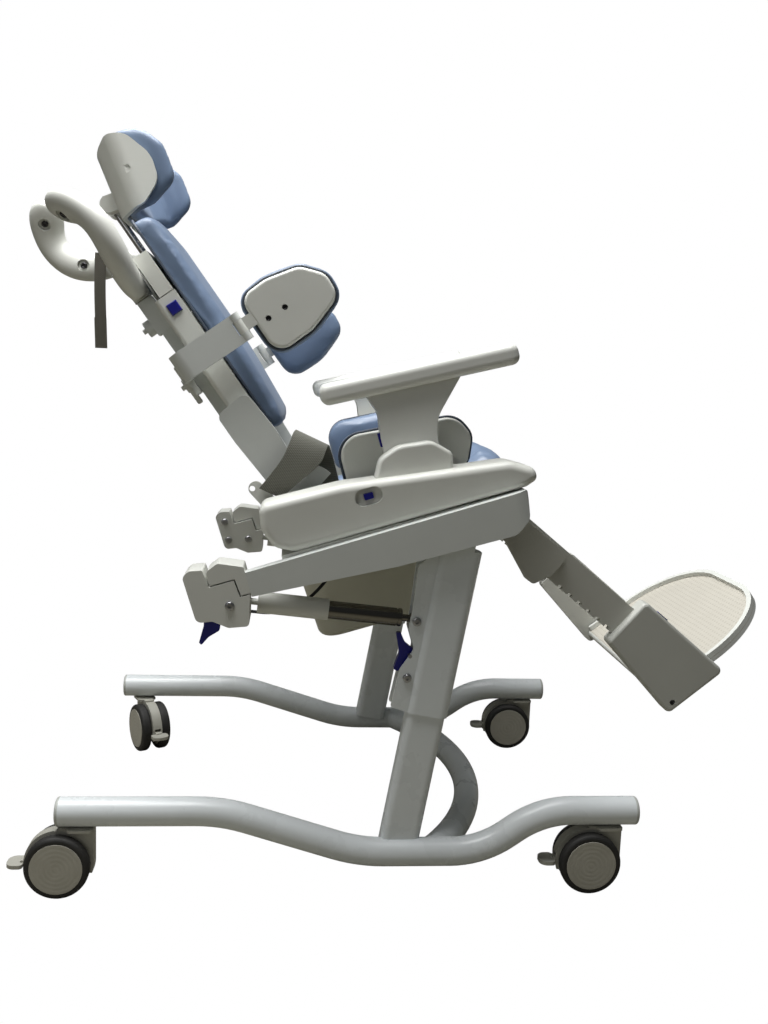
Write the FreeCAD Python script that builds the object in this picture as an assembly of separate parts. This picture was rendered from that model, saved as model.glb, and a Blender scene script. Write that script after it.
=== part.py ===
"""Tilt-in-space commode chair: a wheeled base, a height-adjusting column, a tilting seat
frame with arms and pan, a reclining back with head and side supports, and a leg rest.

Millimetres. +X is forward, +Y is the sitter's left, +Z is up. The floor is z = 0.
"""
import FreeCAD, Part
import math
import os

from FreeCAD import Placement, Rotation
from FreeCAD import Vector as V

# Clearances
RUN_GAP = 0.05
SEAT_GAP = 0.3
SLIDE_GAP = 0.5

# Base rails and cross tube
RAIL_LENGTH = 900.0
RAIL_D = 44.45
RAIL_WALL = 2.5
RAIL_HALF_SPACING = 313.0
RAIL_END_Z = 128.0
RAIL_DIP_Z = 60.0
RAIL_BEND_R = 260.0
DIP_REAR_TOP_X = -205.0
DIP_REAR_X = 10.0
DIP_FRONT_X = 205.0
DIP_FRONT_TOP_X = 300.0
CAP_LENGTH = 5.0
CAP_PLUG = 14.0
CROSS_BOW_R = 520.0
CROSS_MID_X = 228.0

# Casters
WHEEL_D = 98.0
TYRE_WIDTH = 20.0
DISC_D = 79.0
DISC_PROUD = 1.0
HUB_HALF = 10.0
CASTER_AXLE_D = 8.0
CASTER_TRAIL = 36.0
CASTER_STEM_D = 11.0
CASTER_STEM_GRIP = 16.0
CASTER_INSET = 36.0
WEB_PROUD = 3.5
FLANGE_HALF = 19.0
FLANGE_THICK = 4.0
COLLAR_D = 24.0
PEDAL_LENGTH = 25.0
PEDAL_WIDTH = 34.0
PEDAL_THICK = 6.0
PEDAL_PIN_D = 5.0
PEDAL_PIN_X = -41.0
PEDAL_STALK = 12.0
TURNED_CASTER_DEG = 117.0

# Column
POST_LEAN_DEG = 9.2
POST_FOOT_X = 71.0
POST_HALF_SPACING = 299.0
POST_LENGTH_X = 62.0
POST_LENGTH_Y = 36.0
POST_WALL = 3.0
POST_CORNER_R = 12.0
POST_BOTTOM = 10.0
POST_TOP = 425.0
SLEEVE_WALL = 2.5
SLEEVE_BOTTOM = 228.0
SLEEVE_TOP = 494.0
SLEEVE_CAP = 10.0
TONGUE_R = 25.0
TONGUE_THICK = 19.0
FIN_THICK = 6.0
FIN_GAP = 22.0
FIN_BOLT_D = 10.0
GAS_BOLT_X = -45.0
GAS_BOLT_Z = 372.0
LEVER_X = -44.0
LEVER_Z = 316.0
LEVER_THICK = 12.0
LEVER_PIN_D = 6.0
LEVER_SIDE = [(6, -7, 5), (6, 8, 5), (-10, 17, 12), (-20, 32, 3), (-27, 30, 3), (-16, 0, 18), (-20, -27, 3),
              (-13, -29, 3)]
BOLT_HEAD_D = 14.0
BOLT_HEAD_H = 5.0

# Tilt pivot and seat frame, in the seat's own axes from the pivot
TILT_DEG = 17.0
PIVOT_X = 149.0
PIVOT_Z = 575.0
PIVOT_PIN_D = 16.0
FRAME_THICK = 22.0
FRAME_SKIN = 4.0
FRAME_GAP = 1.0
FRAME_REAR = -329.0
FRAME_FRONT = 112.0
FRAME_TOP = 39.5
FRAME_TOP_REAR = 33.5
FRAME_BOTTOM_REAR = -4.0
FRAME_BOTTOM = -22.0
FRAME_CORNER_R = 27.0
FRONT_BAR_BOTTOM = 6.0
DECK_BOTTOM = 30.0
DECK_REAR = -272.0

# Rear housings, bar and trigger
HOUSING_WIDTH = 61.0
HOUSING_REAR = -419.0
HOUSING_TOP = 58.0
HOUSING_BOTTOM = -46.0
HOUSING_SPLIT = 2.0
HOUSING_SCREWS = [(-403.0, 36.0), (-406.0, -3.0), (-366.0, -12.0)]
GAS_SEAT_S = -364.0
GAS_SEAT_N = -8.0
GAS_POCKET_WIDTH = 18.0
GAS_POCKET_R = 19.0
TRIGGER_S = -392.0
TRIGGER_N = -6.0
TRIGGER_THICK = 10.0
TRIGGER_INSET = 9.0
TRIGGER_PIN_GRIP = 5.0
TRIGGER_PIN_D = 6.0
TRIGGER_SIDE = [(9, 9, 8), (9, -20, 6), (2, -36, 4), (-16, -41, 14), (-30, -50, 2), (-32, -45, 2),
                (-18, -22, 10),
                (-9, 9, 8)]

# Gas springs
CYLINDER_D = 28.0
CYLINDER_LENGTH = 176.0
CYLINDER_START = 22.0
NECK_D = 11.0
EYE_R = 10.0
EYE_WIDTH = 16.0
ROD_D = 10.0
SHROUD_D = 33.0
SHROUD_WALL = 2.0
SHROUD_START = 136.0
SHROUD_END = 244.0
ROD_WELL_EXTRA = 34.0
GROOVE_WIDTH = 2.5
GROOVE_DEPTH = 1.5
GROOVE_FROM_END = 6.0

# Seat
SHELL_OUTER = 328.0
SHELL_INNER = 258.0
SHELL_EDGE_R = 12.0
SEAT_SHELL_SIDE = [(-285, 122, 16), (-291, 84, 30), (-279, 54, 25), (-251, 39.5, 20), (112, 41.5, 10),
                   (132, 48, 10), (131, 66, 16), (96, 86, 36), (-158, 119, 150)]
ARM_BOSS_SIDE = [(-108, 108, 8), (-92, 139, 20), (-60, 151, 40), (-8, 145, 25), (18, 120, 12), (12, 86, 10),
                 (-90, 96, 10)]
ARM_BOSS_DEPTH = 28.0
BUTTON_S = -123.0
BUTTON_N = 92.0
BUTTON_LENGTH = 14.0
BUTTON_HEIGHT = 9.0
RECESS_LENGTH = 42.0
RECESS_HEIGHT = 26.0
RECESS_DEPTH = 7.0
BUTTON_POCKET = 14.0
PAD_HALF = 206.0
SEAT_PAD_TOP = 80.0
SEAT_PAD_FRONT = 124.0
APERTURE_S = -95.0
APERTURE_LENGTH = 250.0
APERTURE_WIDTH = 190.0
APERTURE_R = 90.0
HIP_PAD_INNER = 192.0
HIP_SHELL_INNER = 222.0
HIP_SHELL_OUTER = 236.0
HIP_BOTTOM = 88.0
HIP_TONGUE = 7.0
HIP_SIDE = [(-146, HIP_BOTTOM, 14), (-146, 181, 36), (46, 166, 34), (64, 130, 26), (46, HIP_BOTTOM, 14)]

# Commode pan
PAN_HALF = 140.0
PAN_REAR = -268.0
PAN_FRONT = 50.0
PAN_TOP = 24.0
PAN_BOTTOM = -160.0
PAN_WALL = 3.0
PAN_TAPER = 24.0
PAN_TAPER_REAR = 8.0
PAN_FLOOR_R = 16.0
PAN_LIP = 18.0
PAN_LIP_END = 8.0
PAN_CORNER_R = 42.0
PAN_LIP_THICK = 5.0
RUNNER_THICK = 6.0
RUNNER_HEIGHT = 18.0

# Arms
ARM_CENTRE = 261.0
ARM_PAD_WIDTH = 62.0
ARM_PAD_THICK = 33.0
ARM_PAD_REAR = -153.0
ARM_PAD_FRONT = 157.0
ARM_PAD_REAR_N = 252.0
ARM_PAD_FRONT_N = 238.0
ARM_PAD_R = 13.0
ARM_NECK_THICK = 32.0
ARM_TONGUE_REAR = -64.0
ARM_TONGUE_FRONT = -14.0
ARM_TONGUE_THICK = 12.0
ARM_TONGUE_LOW = 48.0
ARM_SLOT_TOP = 158.0
ARM_NECK_REAR = -80.0
ARM_NECK_FRONT = 3.0
ARM_BUTTON_N = 163.0
ARM_BUTTON_HEIGHT = 22.0
ARM_BUTTON_WIDTH = 12.0
ARM_BUTTON_DEPTH = 10.0

# Recline and back, in the back's own axes from the recline pin
BACK_DEG = 36.0
RECLINE_X = -90.0
RECLINE_Z = 600.0
RECLINE_PIN_D = 12.0
BRACKET_INNER = 210.0
BRACKET_THICK = 14.0
LUG_THICK = 10.0
LUG_R = 22.0
LUG_SINK = 4.0
TAB_THICK = 5.0
TAB_FOOT = 22.0
TAB_CORNERS = [(22, 96, 10), (-9, 152, 11), (-31, 146, 11), (-4, 92, 20)]
TAB_HOLE = (-292.0, 140.0)
TAB_HOLE_D = 9.0
HUB_R = 24.0
QUADRANT_R = 64.0
SHELL_REAR_F = -14.0
SHELL_FRONT_F = 24.0
SHELL_LOW_U = 150.0
SHELL_HIGH_U = 385.0
SHELL_WALL = 5.0
SHELL_CORNER_R = 8.0
SHELL_RIB_U = 230.0
SHELL_RIB = 6.0
UPPER_GAP = 1.5
UPPER_HIGH_U = 456.0
UPPER_TONGUE_LENGTH = 90.0
UPPER_TONGUE_Y = 110.0
UPPER_TONGUE_WIDTH = 30.0
TRACK_Y = 163.0
TRACK_WIDTH = 26.0
TRACK_DEPTH = 20.0
TRACK_LOW_U = 158.0
TRACK_HIGH_U = 344.0
SOCKET_HIGH_U = 402.0
TRACK_SLOT = 10.0
BACK_PAD_LOW_U = 111.0
BACK_PAD_HIGH_U = 511.0
BACK_PAD_HALF = 203.0
BACK_PAD_THICK = 42.0
BACK_PAD_CROWN_R = 240.0
BACK_BUTTON_U = 362.0
BACK_BUTTON_F = 7.0
BACK_BUTTON_SIZE = 18.0

# Side supports
LATERAL_LEFT_DROP = 40.0
LATERAL_PLATE_INNER = 240.0
LATERAL_PLATE = 10.0
LATERAL_LOW_U = 257.0
LATERAL_HIGH_U = 302.0
LATERAL_REAR_LEG = 9.0
LATERAL_BEND_R = 22.0
LATERAL_FOOT = 22.0
LATERAL_PIVOT_F = 76.0
LATERAL_PIN_D = 7.0
LATERAL_KNUCKLE_R = 8.0
LATERAL_KNUCKLE = 12.0
LATERAL_SHELL = 12.0
LATERAL_PAD_INNER = 206.0
LATERAL_SIDE = [(98, 214, 26), (165, 216, 60), (226, 236, 24), (228, 274, 26), (200, 306, 34), (146, 318, 50),
                (98, 316, 22)]
LATERAL_SCREW_F = (118.0, 148.0)
LATERAL_SCREW_U = 267.0
LATERAL_SCREW_D = 9.0
LATERAL_SCREW_DEPTH = 6.0
KNOB_U = 256.0
KNOB_LENGTH = 70.0
KNOB_THICK = 8.0
KNOB_WIDTH = 15.0
KNOB_STUD_D = 8.0
KNOB_STUD = 16.0

# Head support
HEAD_STEM_D = 12.0
HEAD_STEM_LOW_U = 396.0
HEAD_PIVOT_U = 580.0
HEAD_PIVOT_F = 5.0
HEAD_HALF = 150.0
HEAD_SHELL = 8.0
HEAD_PAD = 28.0
HEAD_TURN_DEG = 13.0
HEAD_REAR = 16.0
HEAD_REACH = 120.0
HEAD_PIN_Y = 30.0
HEAD_CHEEK_Y = 44.0
HEAD_CHEEK_R = 14.0
HEAD_NOTCH_Y = 18.0
HEAD_DIMPLE = (55.0, 18.0)
HEAD_DIMPLE_D = 10.0
HEAD_DIMPLE_DEPTH = 2.5
HEAD_CORNER = (34.0, 52.0)
HEAD_SHELL_SIDE = [(10, -42, 10), (66, -39, 24), (99, -14, 30), (102, 26, 44), (76, 69, 30), (46, 78, 22),
                   (12, 64, 30)]
HEAD_PAD_SIDE = [(22, -40, 12), (76, -47, 26), (127, -20, 34), (131, 30, 50), (104, 74, 34), (60, 86, 24),
                 (22, 78, 14)]

# Push handles
HANDLE_F = -27.0
HANDLE_D = 42.0
HANDLE_TUBE_D = 18.0
# Stations of the moulded handle: set back, set aside, height, half width and half thickness
HANDLE_STATIONS = [(0.0, 0.0, 1.5, 16.5, 16.0), (10.0, 0.0, 19.0, 18.0, 17.5), (45.0, 2.0, 31.0, 24.0, 19.0),
                   (80.0, 7.0, 52.0, 27.0, 20.0), (104.0, 13.0, 82.0, 26.0, 20.0),
                   (110.0, 15.0, 112.0, 26.0, 20.0), (102.0, 8.0, 140.0, 29.0, 21.0),
                   (90.0, -5.0, 158.0, 31.0, 20.0), (78.0, -20.0, 171.0, 25.0, 15.0),
                   (71.0, -29.0, 178.0, 12.0, 7.0)]
HANDLE_SCREW_STATIONS = (3, 7)
HANDLE_RECESS_D = 23.0
HANDLE_RECESS_DEPTH = 6.0
HANDLE_STEM_SUNK = 6.0
HANDLE_DRAWN = 103.0
HANDLE_RIGHT_TURN = -90.0
HANDLE_LEFT_TURN = 0.0
SOCKET_LOW_U = 344.0
SOCKET_WALL = 4.0
SOCKET_KNOB = 12.0
SOCKET_KNOB_D = 26.0
SOCKET_KNOB_U = 18.0

# Leg rest, in its own axes from the leg hinge: x forward of the plank, z up along it
LEG_HINGE_S = 79.0
LEG_HINGE_N = -10.0
LEG_DEG = 51.5
LEG_PIN_D = 12.0
PLANK_WIDTH = 54.0
PLANK_THICK = 10.0
PLANK_INNER = 215.0
PLANK_TOP = -30.0
PLANK_LENGTH = 340.0
NOTCH_PITCH = 21.0
NOTCH_SIZE = 8.0
NOTCH_COUNT = 8
NOTCH_FIRST = -150.0
HANGER_THICK = 12.0
HANGER_GAP = 2.0
HANGER_HUB_R = 14.0
HANGER_SIDE = [(-HANGER_HUB_R, 0, 0), (HANGER_HUB_R, 0, 0), (22, -44, 4), (22, -106, 8), (16, -126, 8),
               (-18, -127, 8), (-50, -112, 8), (-51, -96, 6), (-25, -26, 4)]
EAR_THICK = 8.0
FOOT_INNER = 211.0
FOOT_WIDTH = 30.0
FOOT_TOP = -276.0
FOOT_POCKET = 162.0
FOOT_SIDE = [(49, FOOT_TOP, 10), (47, -461, 10), (-68, -437, 10), (-58, -367, 60), (-43, FOOT_TOP + 4, 8)]
FOOT_BUTTON_Z = -316.0
FOOT_BUTTON_LENGTH = 24.0
FOOT_BUTTON_WIDTH = 9.0
FOOT_BUTTON_DEPTH = 10.0
BOARD_HINGE_X = -49.0
BOARD_HINGE_Z = -427.0
BOARD_SLOPE_DEG = -14.5
BOARD_PIN_D = 8.0
BOARD_BARREL_R = 9.0
BOARD_DEPTH = 252.0
BOARD_FRONT_R = 155.0
BOARD_GAP = 2.0
BOARD_THICK = 8.0
BOARD_RIM = 9.0
BOARD_RIM_H = 9.0

# Cable and straps
CABLE_D = 5.0
CABLE_INBOARD = 27.0
CABLE_ROUTE = [(-345.0, -40.0), (-318.0, -51.0), (-290.0, -55.0), (-262.0, -50.0), (-236.0, -37.0),
               (-212.0, -20.0),
               (-193.0, 2.0), (-184.0, DECK_BOTTOM - 0.8)]
STRAP_THICK = 2.5
HIP_STRAP_SIDE = ((-288, 149), (-249, 112), (-166, 166), (-191, 203))
HIP_STRAP_FOLD = 46.0
HANG_STRAP_WIDTH = 21.0
HANG_STRAP_LENGTH = 175.0
HANG_STRAP_TOP = (-474.0, 143.1, 1012.0)


# Outlines and solids

def outline(points, plane):
    """A closed wire through corners (u, v, radius), every corner rounded by its radius."""
    count = len(points)
    starts, ends, arcs = [], [], []
    for i in range(count):
        u, v, r = points[i]
        here = V(u, v, 0)
        to_prev = V(points[i - 1][0], points[i - 1][1], 0).sub(here)
        to_next = V(points[(i + 1) % count][0], points[(i + 1) % count][1], 0).sub(here)
        to_prev.normalize()
        to_next.normalize()
        half = to_prev.getAngle(to_next) / 2.0
        reach = r / math.tan(half)
        middle = to_prev.add(to_next)
        middle.normalize()
        starts.append(here.add(to_prev.multiply(reach)))
        ends.append(here.add(to_next.multiply(reach)))
        arcs.append(here.add(middle.multiply(r / math.sin(half) - r)))
    edges = []
    for i in range(count):
        run = V(points[(i + 1) % count][0] - points[i][0], points[(i + 1) % count][1] - points[i][1], 0)
        if starts[(i + 1) % count].sub(ends[i]).dot(run) < -1e-6:
            raise ValueError("corner radii too large near %s" % (points[i],))
        a, m, b = plane(starts[i]), plane(arcs[i]), plane(ends[i])
        if points[i][2] > 0:
            edges.append(Part.Arc(a, m, b).toShape())
        following = plane(starts[(i + 1) % count])
        if b.distanceToPoint(following) > 1e-6:
            edges.append(Part.LineSegment(b, following).toShape())
    return Part.Wire(edges)


def side_wire(points, y):
    """An outline drawn in a vertical plane at y, from corners (x, z, radius)."""
    return outline(points, lambda p: V(p.x, y, p.y))


def plan_wire(points, z):
    """An outline drawn in a level plane at z, from corners (x, y, radius)."""
    return outline(points, lambda p: V(p.x, p.y, z))


def side_plate(points, y0, y1):
    """A plate with a side outline, from y0 to y1."""
    return Part.Face(side_wire(points, y0)).extrude(V(0, y1 - y0, 0))


def plan_plate(points, z0, z1):
    """A plate with a plan outline, from z0 to z1."""
    return Part.Face(plan_wire(points, z0)).extrude(V(0, 0, z1 - z0))


def box(x0, x1, y0, y1, z0, z1):
    return Part.makeBox(x1 - x0, y1 - y0, z1 - z0, V(x0, y0, z0))


def rod_y(x, z, y0, y1, diameter):
    """A cylinder along Y."""
    return Part.makeCylinder(diameter / 2.0, y1 - y0, V(x, y0, z), V(0, 1, 0))


def rod(start, end, diameter):
    """A cylinder from one point to another."""
    run = end.sub(start)
    return Part.makeCylinder(diameter / 2.0, run.Length, start, run)


def rounded_rect(width, depth, radius):
    """Corners of a rectangle centred on the origin."""
    w, d = width / 2.0, depth / 2.0
    return [(-w, -d, radius), (w, -d, radius), (w, d, radius), (-w, d, radius)]


def path_wire(points):
    """An open path of straight runs and tangent arcs through (Vector, bend radius) points."""
    edges = []
    last = points[0][0]
    for i in range(1, len(points) - 1):
        here, r = points[i]
        back = points[i - 1][0].sub(here)
        ahead = points[i + 1][0].sub(here)
        back.normalize()
        ahead.normalize()
        half = back.getAngle(ahead) / 2.0
        reach = r / math.tan(half)
        middle = back.add(ahead)
        middle.normalize()
        a = here.add(back.multiply(reach))
        b = here.add(ahead.multiply(reach))
        m = here.add(middle.multiply(r / math.sin(half) - r))
        if last.distanceToPoint(a) > 1e-6:
            edges.append(Part.LineSegment(last, a).toShape())
        edges.append(Part.Arc(a, m, b).toShape())
        last = b
    if last.distanceToPoint(points[-1][0]) > 1e-6:
        edges.append(Part.LineSegment(last, points[-1][0]).toShape())
    return Part.Wire(edges)


def bar_along(path, diameter):
    """A round bar swept along a path."""
    first = path.OrderedEdges[0]
    start = first.valueAt(first.FirstParameter)
    heading = first.tangentAt(first.FirstParameter)
    if start.distanceToPoint(path.OrderedVertexes[0].Point) > 1e-6:
        start = first.valueAt(first.LastParameter)
        heading = first.tangentAt(first.LastParameter).multiply(-1)
    ring = Part.Wire(Part.makeCircle(diameter / 2.0, start, heading))
    return path.makePipeShell([ring], True, False)


def mirrored(shape):
    return shape.mirror(V(0, 0, 0), V(0, 1, 0))


def pair(left_shape):
    """The sitter's left piece and its mirror image on the right."""
    return [left_shape, mirrored(left_shape)]


def placed(shape, placement):
    return shape.transformed(placement.toMatrix(), True)


def button_head(x, y, z, side):
    """A button-headed bolt's head on a face whose outward normal is side * Y."""
    head = Part.makeCylinder(BOLT_HEAD_D / 2.0, BOLT_HEAD_H, V(x, y, z), V(0, side, 0))
    crown = [e for e in head.Edges if e.Curve.TypeId == "Part::GeomCircle"
             and abs(e.Curve.Center.y - (y + side * BOLT_HEAD_H)) < 1e-6]
    head = head.makeFillet(BOLT_HEAD_H * 0.6, crown)
    socket = Part.makeCylinder(BOLT_HEAD_D * 0.18, BOLT_HEAD_H * 0.6, V(x, y + side * BOLT_HEAD_H, z),
                               V(0, -side, 0))
    return head.cut(socket)


def edges_at_y(shape, y):
    """Edges that lie in the plane at y."""
    return [e for e in shape.Edges if all(abs(v.Point.y - y) < 1e-6 for v in e.Vertexes)
            and abs(e.CenterOfMass.y - y) < 1e-6]


def softened(wires):
    """A crowned cushion: a smooth loft through like outlines."""
    return Part.makeLoft(wires, True, False)


def grown(points, amount):
    """The same outline moved out (or in) from its own centre by about the amount."""
    cu = sum(p[0] for p in points) / len(points)
    cv = sum(p[1] for p in points) / len(points)
    result = []
    for u, v, r in points:
        away = V(u - cu, v - cv, 0)
        scale = 1.0 + amount / away.Length
        result.append((cu + away.x * scale, cv + away.y * scale, r * scale))
    return result


# Frames of the tilting groups

SEAT = Placement(V(PIVOT_X, 0, PIVOT_Z), Rotation(V(0, 1, 0), -TILT_DEG))
BACK = Placement(V(RECLINE_X, 0, RECLINE_Z), Rotation(V(0, 1, 0), -BACK_DEG))
HEAD = BACK.multiply(Placement(V(HEAD_PIVOT_F, 0, HEAD_PIVOT_U), Rotation(V(0, 1, 0), HEAD_TURN_DEG)))
POST = Placement(V(POST_FOOT_X, 0, RAIL_DIP_Z), Rotation(V(0, 1, 0), POST_LEAN_DEG))
LEG_HINGE = SEAT.multVec(V(LEG_HINGE_S, 0, LEG_HINGE_N))
LEG = Placement(LEG_HINGE, Rotation(V(0, 1, 0), -LEG_DEG))
RECLINE_IN_SEAT = SEAT.inverse().multVec(V(RECLINE_X, 0, RECLINE_Z))
PIVOT_IN_POST = POST.inverse().multVec(V(PIVOT_X, 0, PIVOT_Z))


# Base

def rail_path():
    half = RAIL_LENGTH / 2.0
    return path_wire([
        (V(-half, 0, RAIL_END_Z), 0),
        (V(DIP_REAR_TOP_X, 0, RAIL_END_Z), RAIL_BEND_R),
        (V(DIP_REAR_X, 0, RAIL_DIP_Z), RAIL_BEND_R),
        (V(DIP_FRONT_X, 0, RAIL_DIP_Z), RAIL_BEND_R * 0.6),
        (V(DIP_FRONT_TOP_X, 0, RAIL_END_Z), RAIL_BEND_R * 0.6),
        (V(half, 0, RAIL_END_Z), 0)])


def rail_bar():
    return bar_along(rail_path(), RAIL_D)


def caster_places():
    reach = RAIL_LENGTH / 2.0 - CASTER_INSET
    return [("rear_right", -reach, -RAIL_HALF_SPACING, 0.0), ("front_right", reach, -RAIL_HALF_SPACING, 0.0),
            ("rear_left", -reach, RAIL_HALF_SPACING, TURNED_CASTER_DEG),
            ("front_left", reach, RAIL_HALF_SPACING, 0.0)]


def base_tubes(rails):
    """The two dipped rails and the bowed cross tube between them."""
    path = rail_path()
    bore = bar_along(path, RAIL_D - 2 * RAIL_WALL)
    bottom = RAIL_END_Z - RAIL_D / 2.0
    offsets = (RAIL_HALF_SPACING, -RAIL_HALF_SPACING)
    hollow = [rails[i].cut(bore.translated(V(0, y, 0))) for i, y in enumerate(offsets)]
    for name, x, y, turn in caster_places():
        i = 0 if y > 0 else 1
        hole = Part.makeCylinder(CASTER_STEM_D / 2.0 + RUN_GAP, CASTER_STEM_GRIP + RAIL_WALL,
                                 V(x, y, bottom - RAIL_WALL))
        boss = Part.makeCylinder(COLLAR_D / 2.0, CASTER_STEM_GRIP, V(x, y, bottom + RAIL_WALL / 2.0))
        boss = boss.common(rails[i])
        hollow[i] = hollow[i].fuse(boss).cut(hole).removeSplitter()
    drop = CROSS_BOW_R - math.sqrt(CROSS_BOW_R ** 2 - RAIL_HALF_SPACING ** 2)
    end_x = CROSS_MID_X - drop
    bow = Part.Wire(Part.Arc(V(end_x, -RAIL_HALF_SPACING, RAIL_DIP_Z), V(CROSS_MID_X, 0, RAIL_DIP_Z),
                             V(end_x, RAIL_HALF_SPACING, RAIL_DIP_Z)).toShape())
    cross = bar_along(bow, RAIL_D).cut(bar_along(bow, RAIL_D - 2 * RAIL_WALL))
    return hollow + [cross.cut(rails[0]).cut(rails[1])]


def rail_end_caps():
    caps = []
    for side in (-1, 1):
        for y in (RAIL_HALF_SPACING, -RAIL_HALF_SPACING):
            face = V(side * RAIL_LENGTH / 2.0, y, RAIL_END_Z)
            head = Part.makeCylinder(RAIL_D / 2.0, CAP_LENGTH, face, V(side, 0, 0))
            end_x = side * (RAIL_LENGTH / 2.0 + CAP_LENGTH)
            rim = [e for e in head.Edges if abs(e.CenterOfMass.x - end_x) < 1e-6]
            head = head.makeFillet(CAP_LENGTH * 0.6, rim)
            plug = Part.makeCylinder(RAIL_D / 2.0 - RAIL_WALL - SEAT_GAP, CAP_PLUG, face, V(-side, 0, 0))
            caps.append(head.fuse(plug))
    return caps


def lower_posts(rails):
    """The inner columns, welded on the rails and leaning forward."""
    outer = plan_plate(rounded_rect(POST_LENGTH_X, POST_LENGTH_Y, POST_CORNER_R), POST_BOTTOM, POST_TOP)
    bore = plan_plate(rounded_rect(POST_LENGTH_X - 2 * POST_WALL, POST_LENGTH_Y - 2 * POST_WALL,
                                   POST_CORNER_R - POST_WALL), POST_BOTTOM, POST_TOP)
    left = placed(outer.cut(bore).translated(V(0, POST_HALF_SPACING, 0)), POST).cut(rails[0])
    return pair(left)


# Casters, in their own axes: wheel axle at the origin, stem ahead of it

def caster_fork():
    """The web between the twin wheels with its top flange, stem, axle and pedal pin."""
    outer = WHEEL_D / 2.0 + WEB_PROUD
    half = HUB_HALF + TYRE_WIDTH
    web = HUB_HALF - SLIDE_GAP
    top = RAIL_END_Z - RAIL_D / 2.0 - WHEEL_D / 2.0
    flange_top = top - 2 * SLIDE_GAP
    disc = rod_y(0, 0, -web, web, 2 * outer)
    lead = side_plate([(0, -CASTER_AXLE_D, 0), (outer, -CASTER_AXLE_D, 6), (outer, flange_top, 3),
                       (0, flange_top, 0)], -web, web)
    keep = box(-outer, outer, -web, web, -2 * CASTER_AXLE_D, flange_top)
    body = disc.fuse(lead).common(keep)
    rear = CASTER_TRAIL - COLLAR_D
    r = FLANGE_HALF * 0.4
    flange = plan_plate([(rear, -FLANGE_HALF, r), (outer, -FLANGE_HALF, r), (outer, FLANGE_HALF, r),
                         (rear, FLANGE_HALF, r)], flange_top - FLANGE_THICK, flange_top)
    slot_half = PEDAL_STALK / 2.0 + SLIDE_GAP
    slot = box(-outer - 1, PEDAL_PIN_X + PEDAL_PIN_D + 2, -slot_half, slot_half, -outer, PEDAL_PIN_D + 4)
    collar = Part.makeCylinder(COLLAR_D / 2.0, top - SEAT_GAP - flange_top, V(CASTER_TRAIL, 0, flange_top))
    stem = Part.makeCylinder(CASTER_STEM_D / 2.0, top + CASTER_STEM_GRIP - flange_top,
                             V(CASTER_TRAIL, 0, flange_top))
    body = body.fuse(flange).cut(slot).fuse(collar).fuse(stem)
    body = body.fuse(rod_y(0, 0, -half, half, CASTER_AXLE_D))
    return body.fuse(rod_y(PEDAL_PIN_X, 0, -web, web, PEDAL_PIN_D)).removeSplitter()


def caster_wheels():
    """Two tyres with their discs, free on the axle."""
    solids = []
    for side in (-1, 1):
        y0, y1 = sorted((side * HUB_HALF, side * (HUB_HALF + TYRE_WIDTH)))
        tyre = rod_y(0, 0, y0, y1, WHEEL_D).cut(rod_y(0, 0, y0, y1, DISC_D))
        rims = [e for e in tyre.Edges if e.Curve.TypeId == "Part::GeomCircle"
                and abs(e.Curve.Radius - WHEEL_D / 2.0) < 1e-6 and len(e.Vertexes) == 1]
        tyre = tyre.makeFillet(TYRE_WIDTH * 0.3, rims)
        face = side * (HUB_HALF + TYRE_WIDTH + DISC_PROUD)
        d0, d1 = sorted((side * HUB_HALF, face))
        disc = rod_y(0, 0, d0, d1, DISC_D).cut(rod_y(0, 0, d0, y1 if side > 0 else d1,
                                                     CASTER_AXLE_D + 2 * RUN_GAP))
        if side < 0:
            disc = disc.fuse(rod_y(0, 0, d0, y0, DISC_D))
        solids += [tyre, disc]
    return solids


def caster_pedal():
    """The brake tongue behind the web, on its own small pin."""
    near = -WHEEL_D / 2.0 - WEB_PROUD - 1
    tail = near - PEDAL_LENGTH
    stalk = side_plate([(near - 5, -PEDAL_THICK, 2), (PEDAL_PIN_X + PEDAL_PIN_D, -PEDAL_PIN_D, 4),
                        (PEDAL_PIN_X + PEDAL_PIN_D, PEDAL_PIN_D, 4), (near - 5, PEDAL_THICK / 2.0, 2)],
                       -PEDAL_STALK / 2.0, PEDAL_STALK / 2.0)
    half = PEDAL_WIDTH / 2.0
    tongue = plan_plate([(tail, -half, 13), (near, -half, 6), (near, half, 6), (tail, half, 13)],
                        -PEDAL_THICK, 0)
    hole = rod_y(PEDAL_PIN_X, 0, -PEDAL_STALK, PEDAL_STALK, PEDAL_PIN_D + 2 * RUN_GAP)
    return tongue.fuse(stalk).cut(hole).removeSplitter()


def caster_placement(x, y, turn):
    axle_z = WHEEL_D / 2.0
    spin = Placement(V(x, y, 0), Rotation(V(0, 0, 1), turn))
    return spin.multiply(Placement(V(-CASTER_TRAIL, 0, axle_z), Rotation()))


# Column, in the post's own axes

FIN_OUTER = POST_HALF_SPACING + FIN_GAP / 2.0
SLEEVE_X = POST_LENGTH_X + 2 * (SLIDE_GAP + SLEEVE_WALL)
SLEEVE_Y = POST_LENGTH_Y + 2 * (3 * SLIDE_GAP + SLEEVE_WALL)
SLEEVE_OUTER = POST_HALF_SPACING + SLEEVE_Y / 2.0
FRAME_INNER = SLEEVE_OUTER + FRAME_GAP
FRAME_OUTER = FRAME_INNER + FRAME_THICK
TRIGGER_Y1 = FRAME_OUTER - TRIGGER_INSET
TRIGGER_Y0 = TRIGGER_Y1 - TRIGGER_THICK
EAR_INNER = PLANK_INNER + PLANK_THICK + HANGER_THICK + HANGER_GAP


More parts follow.
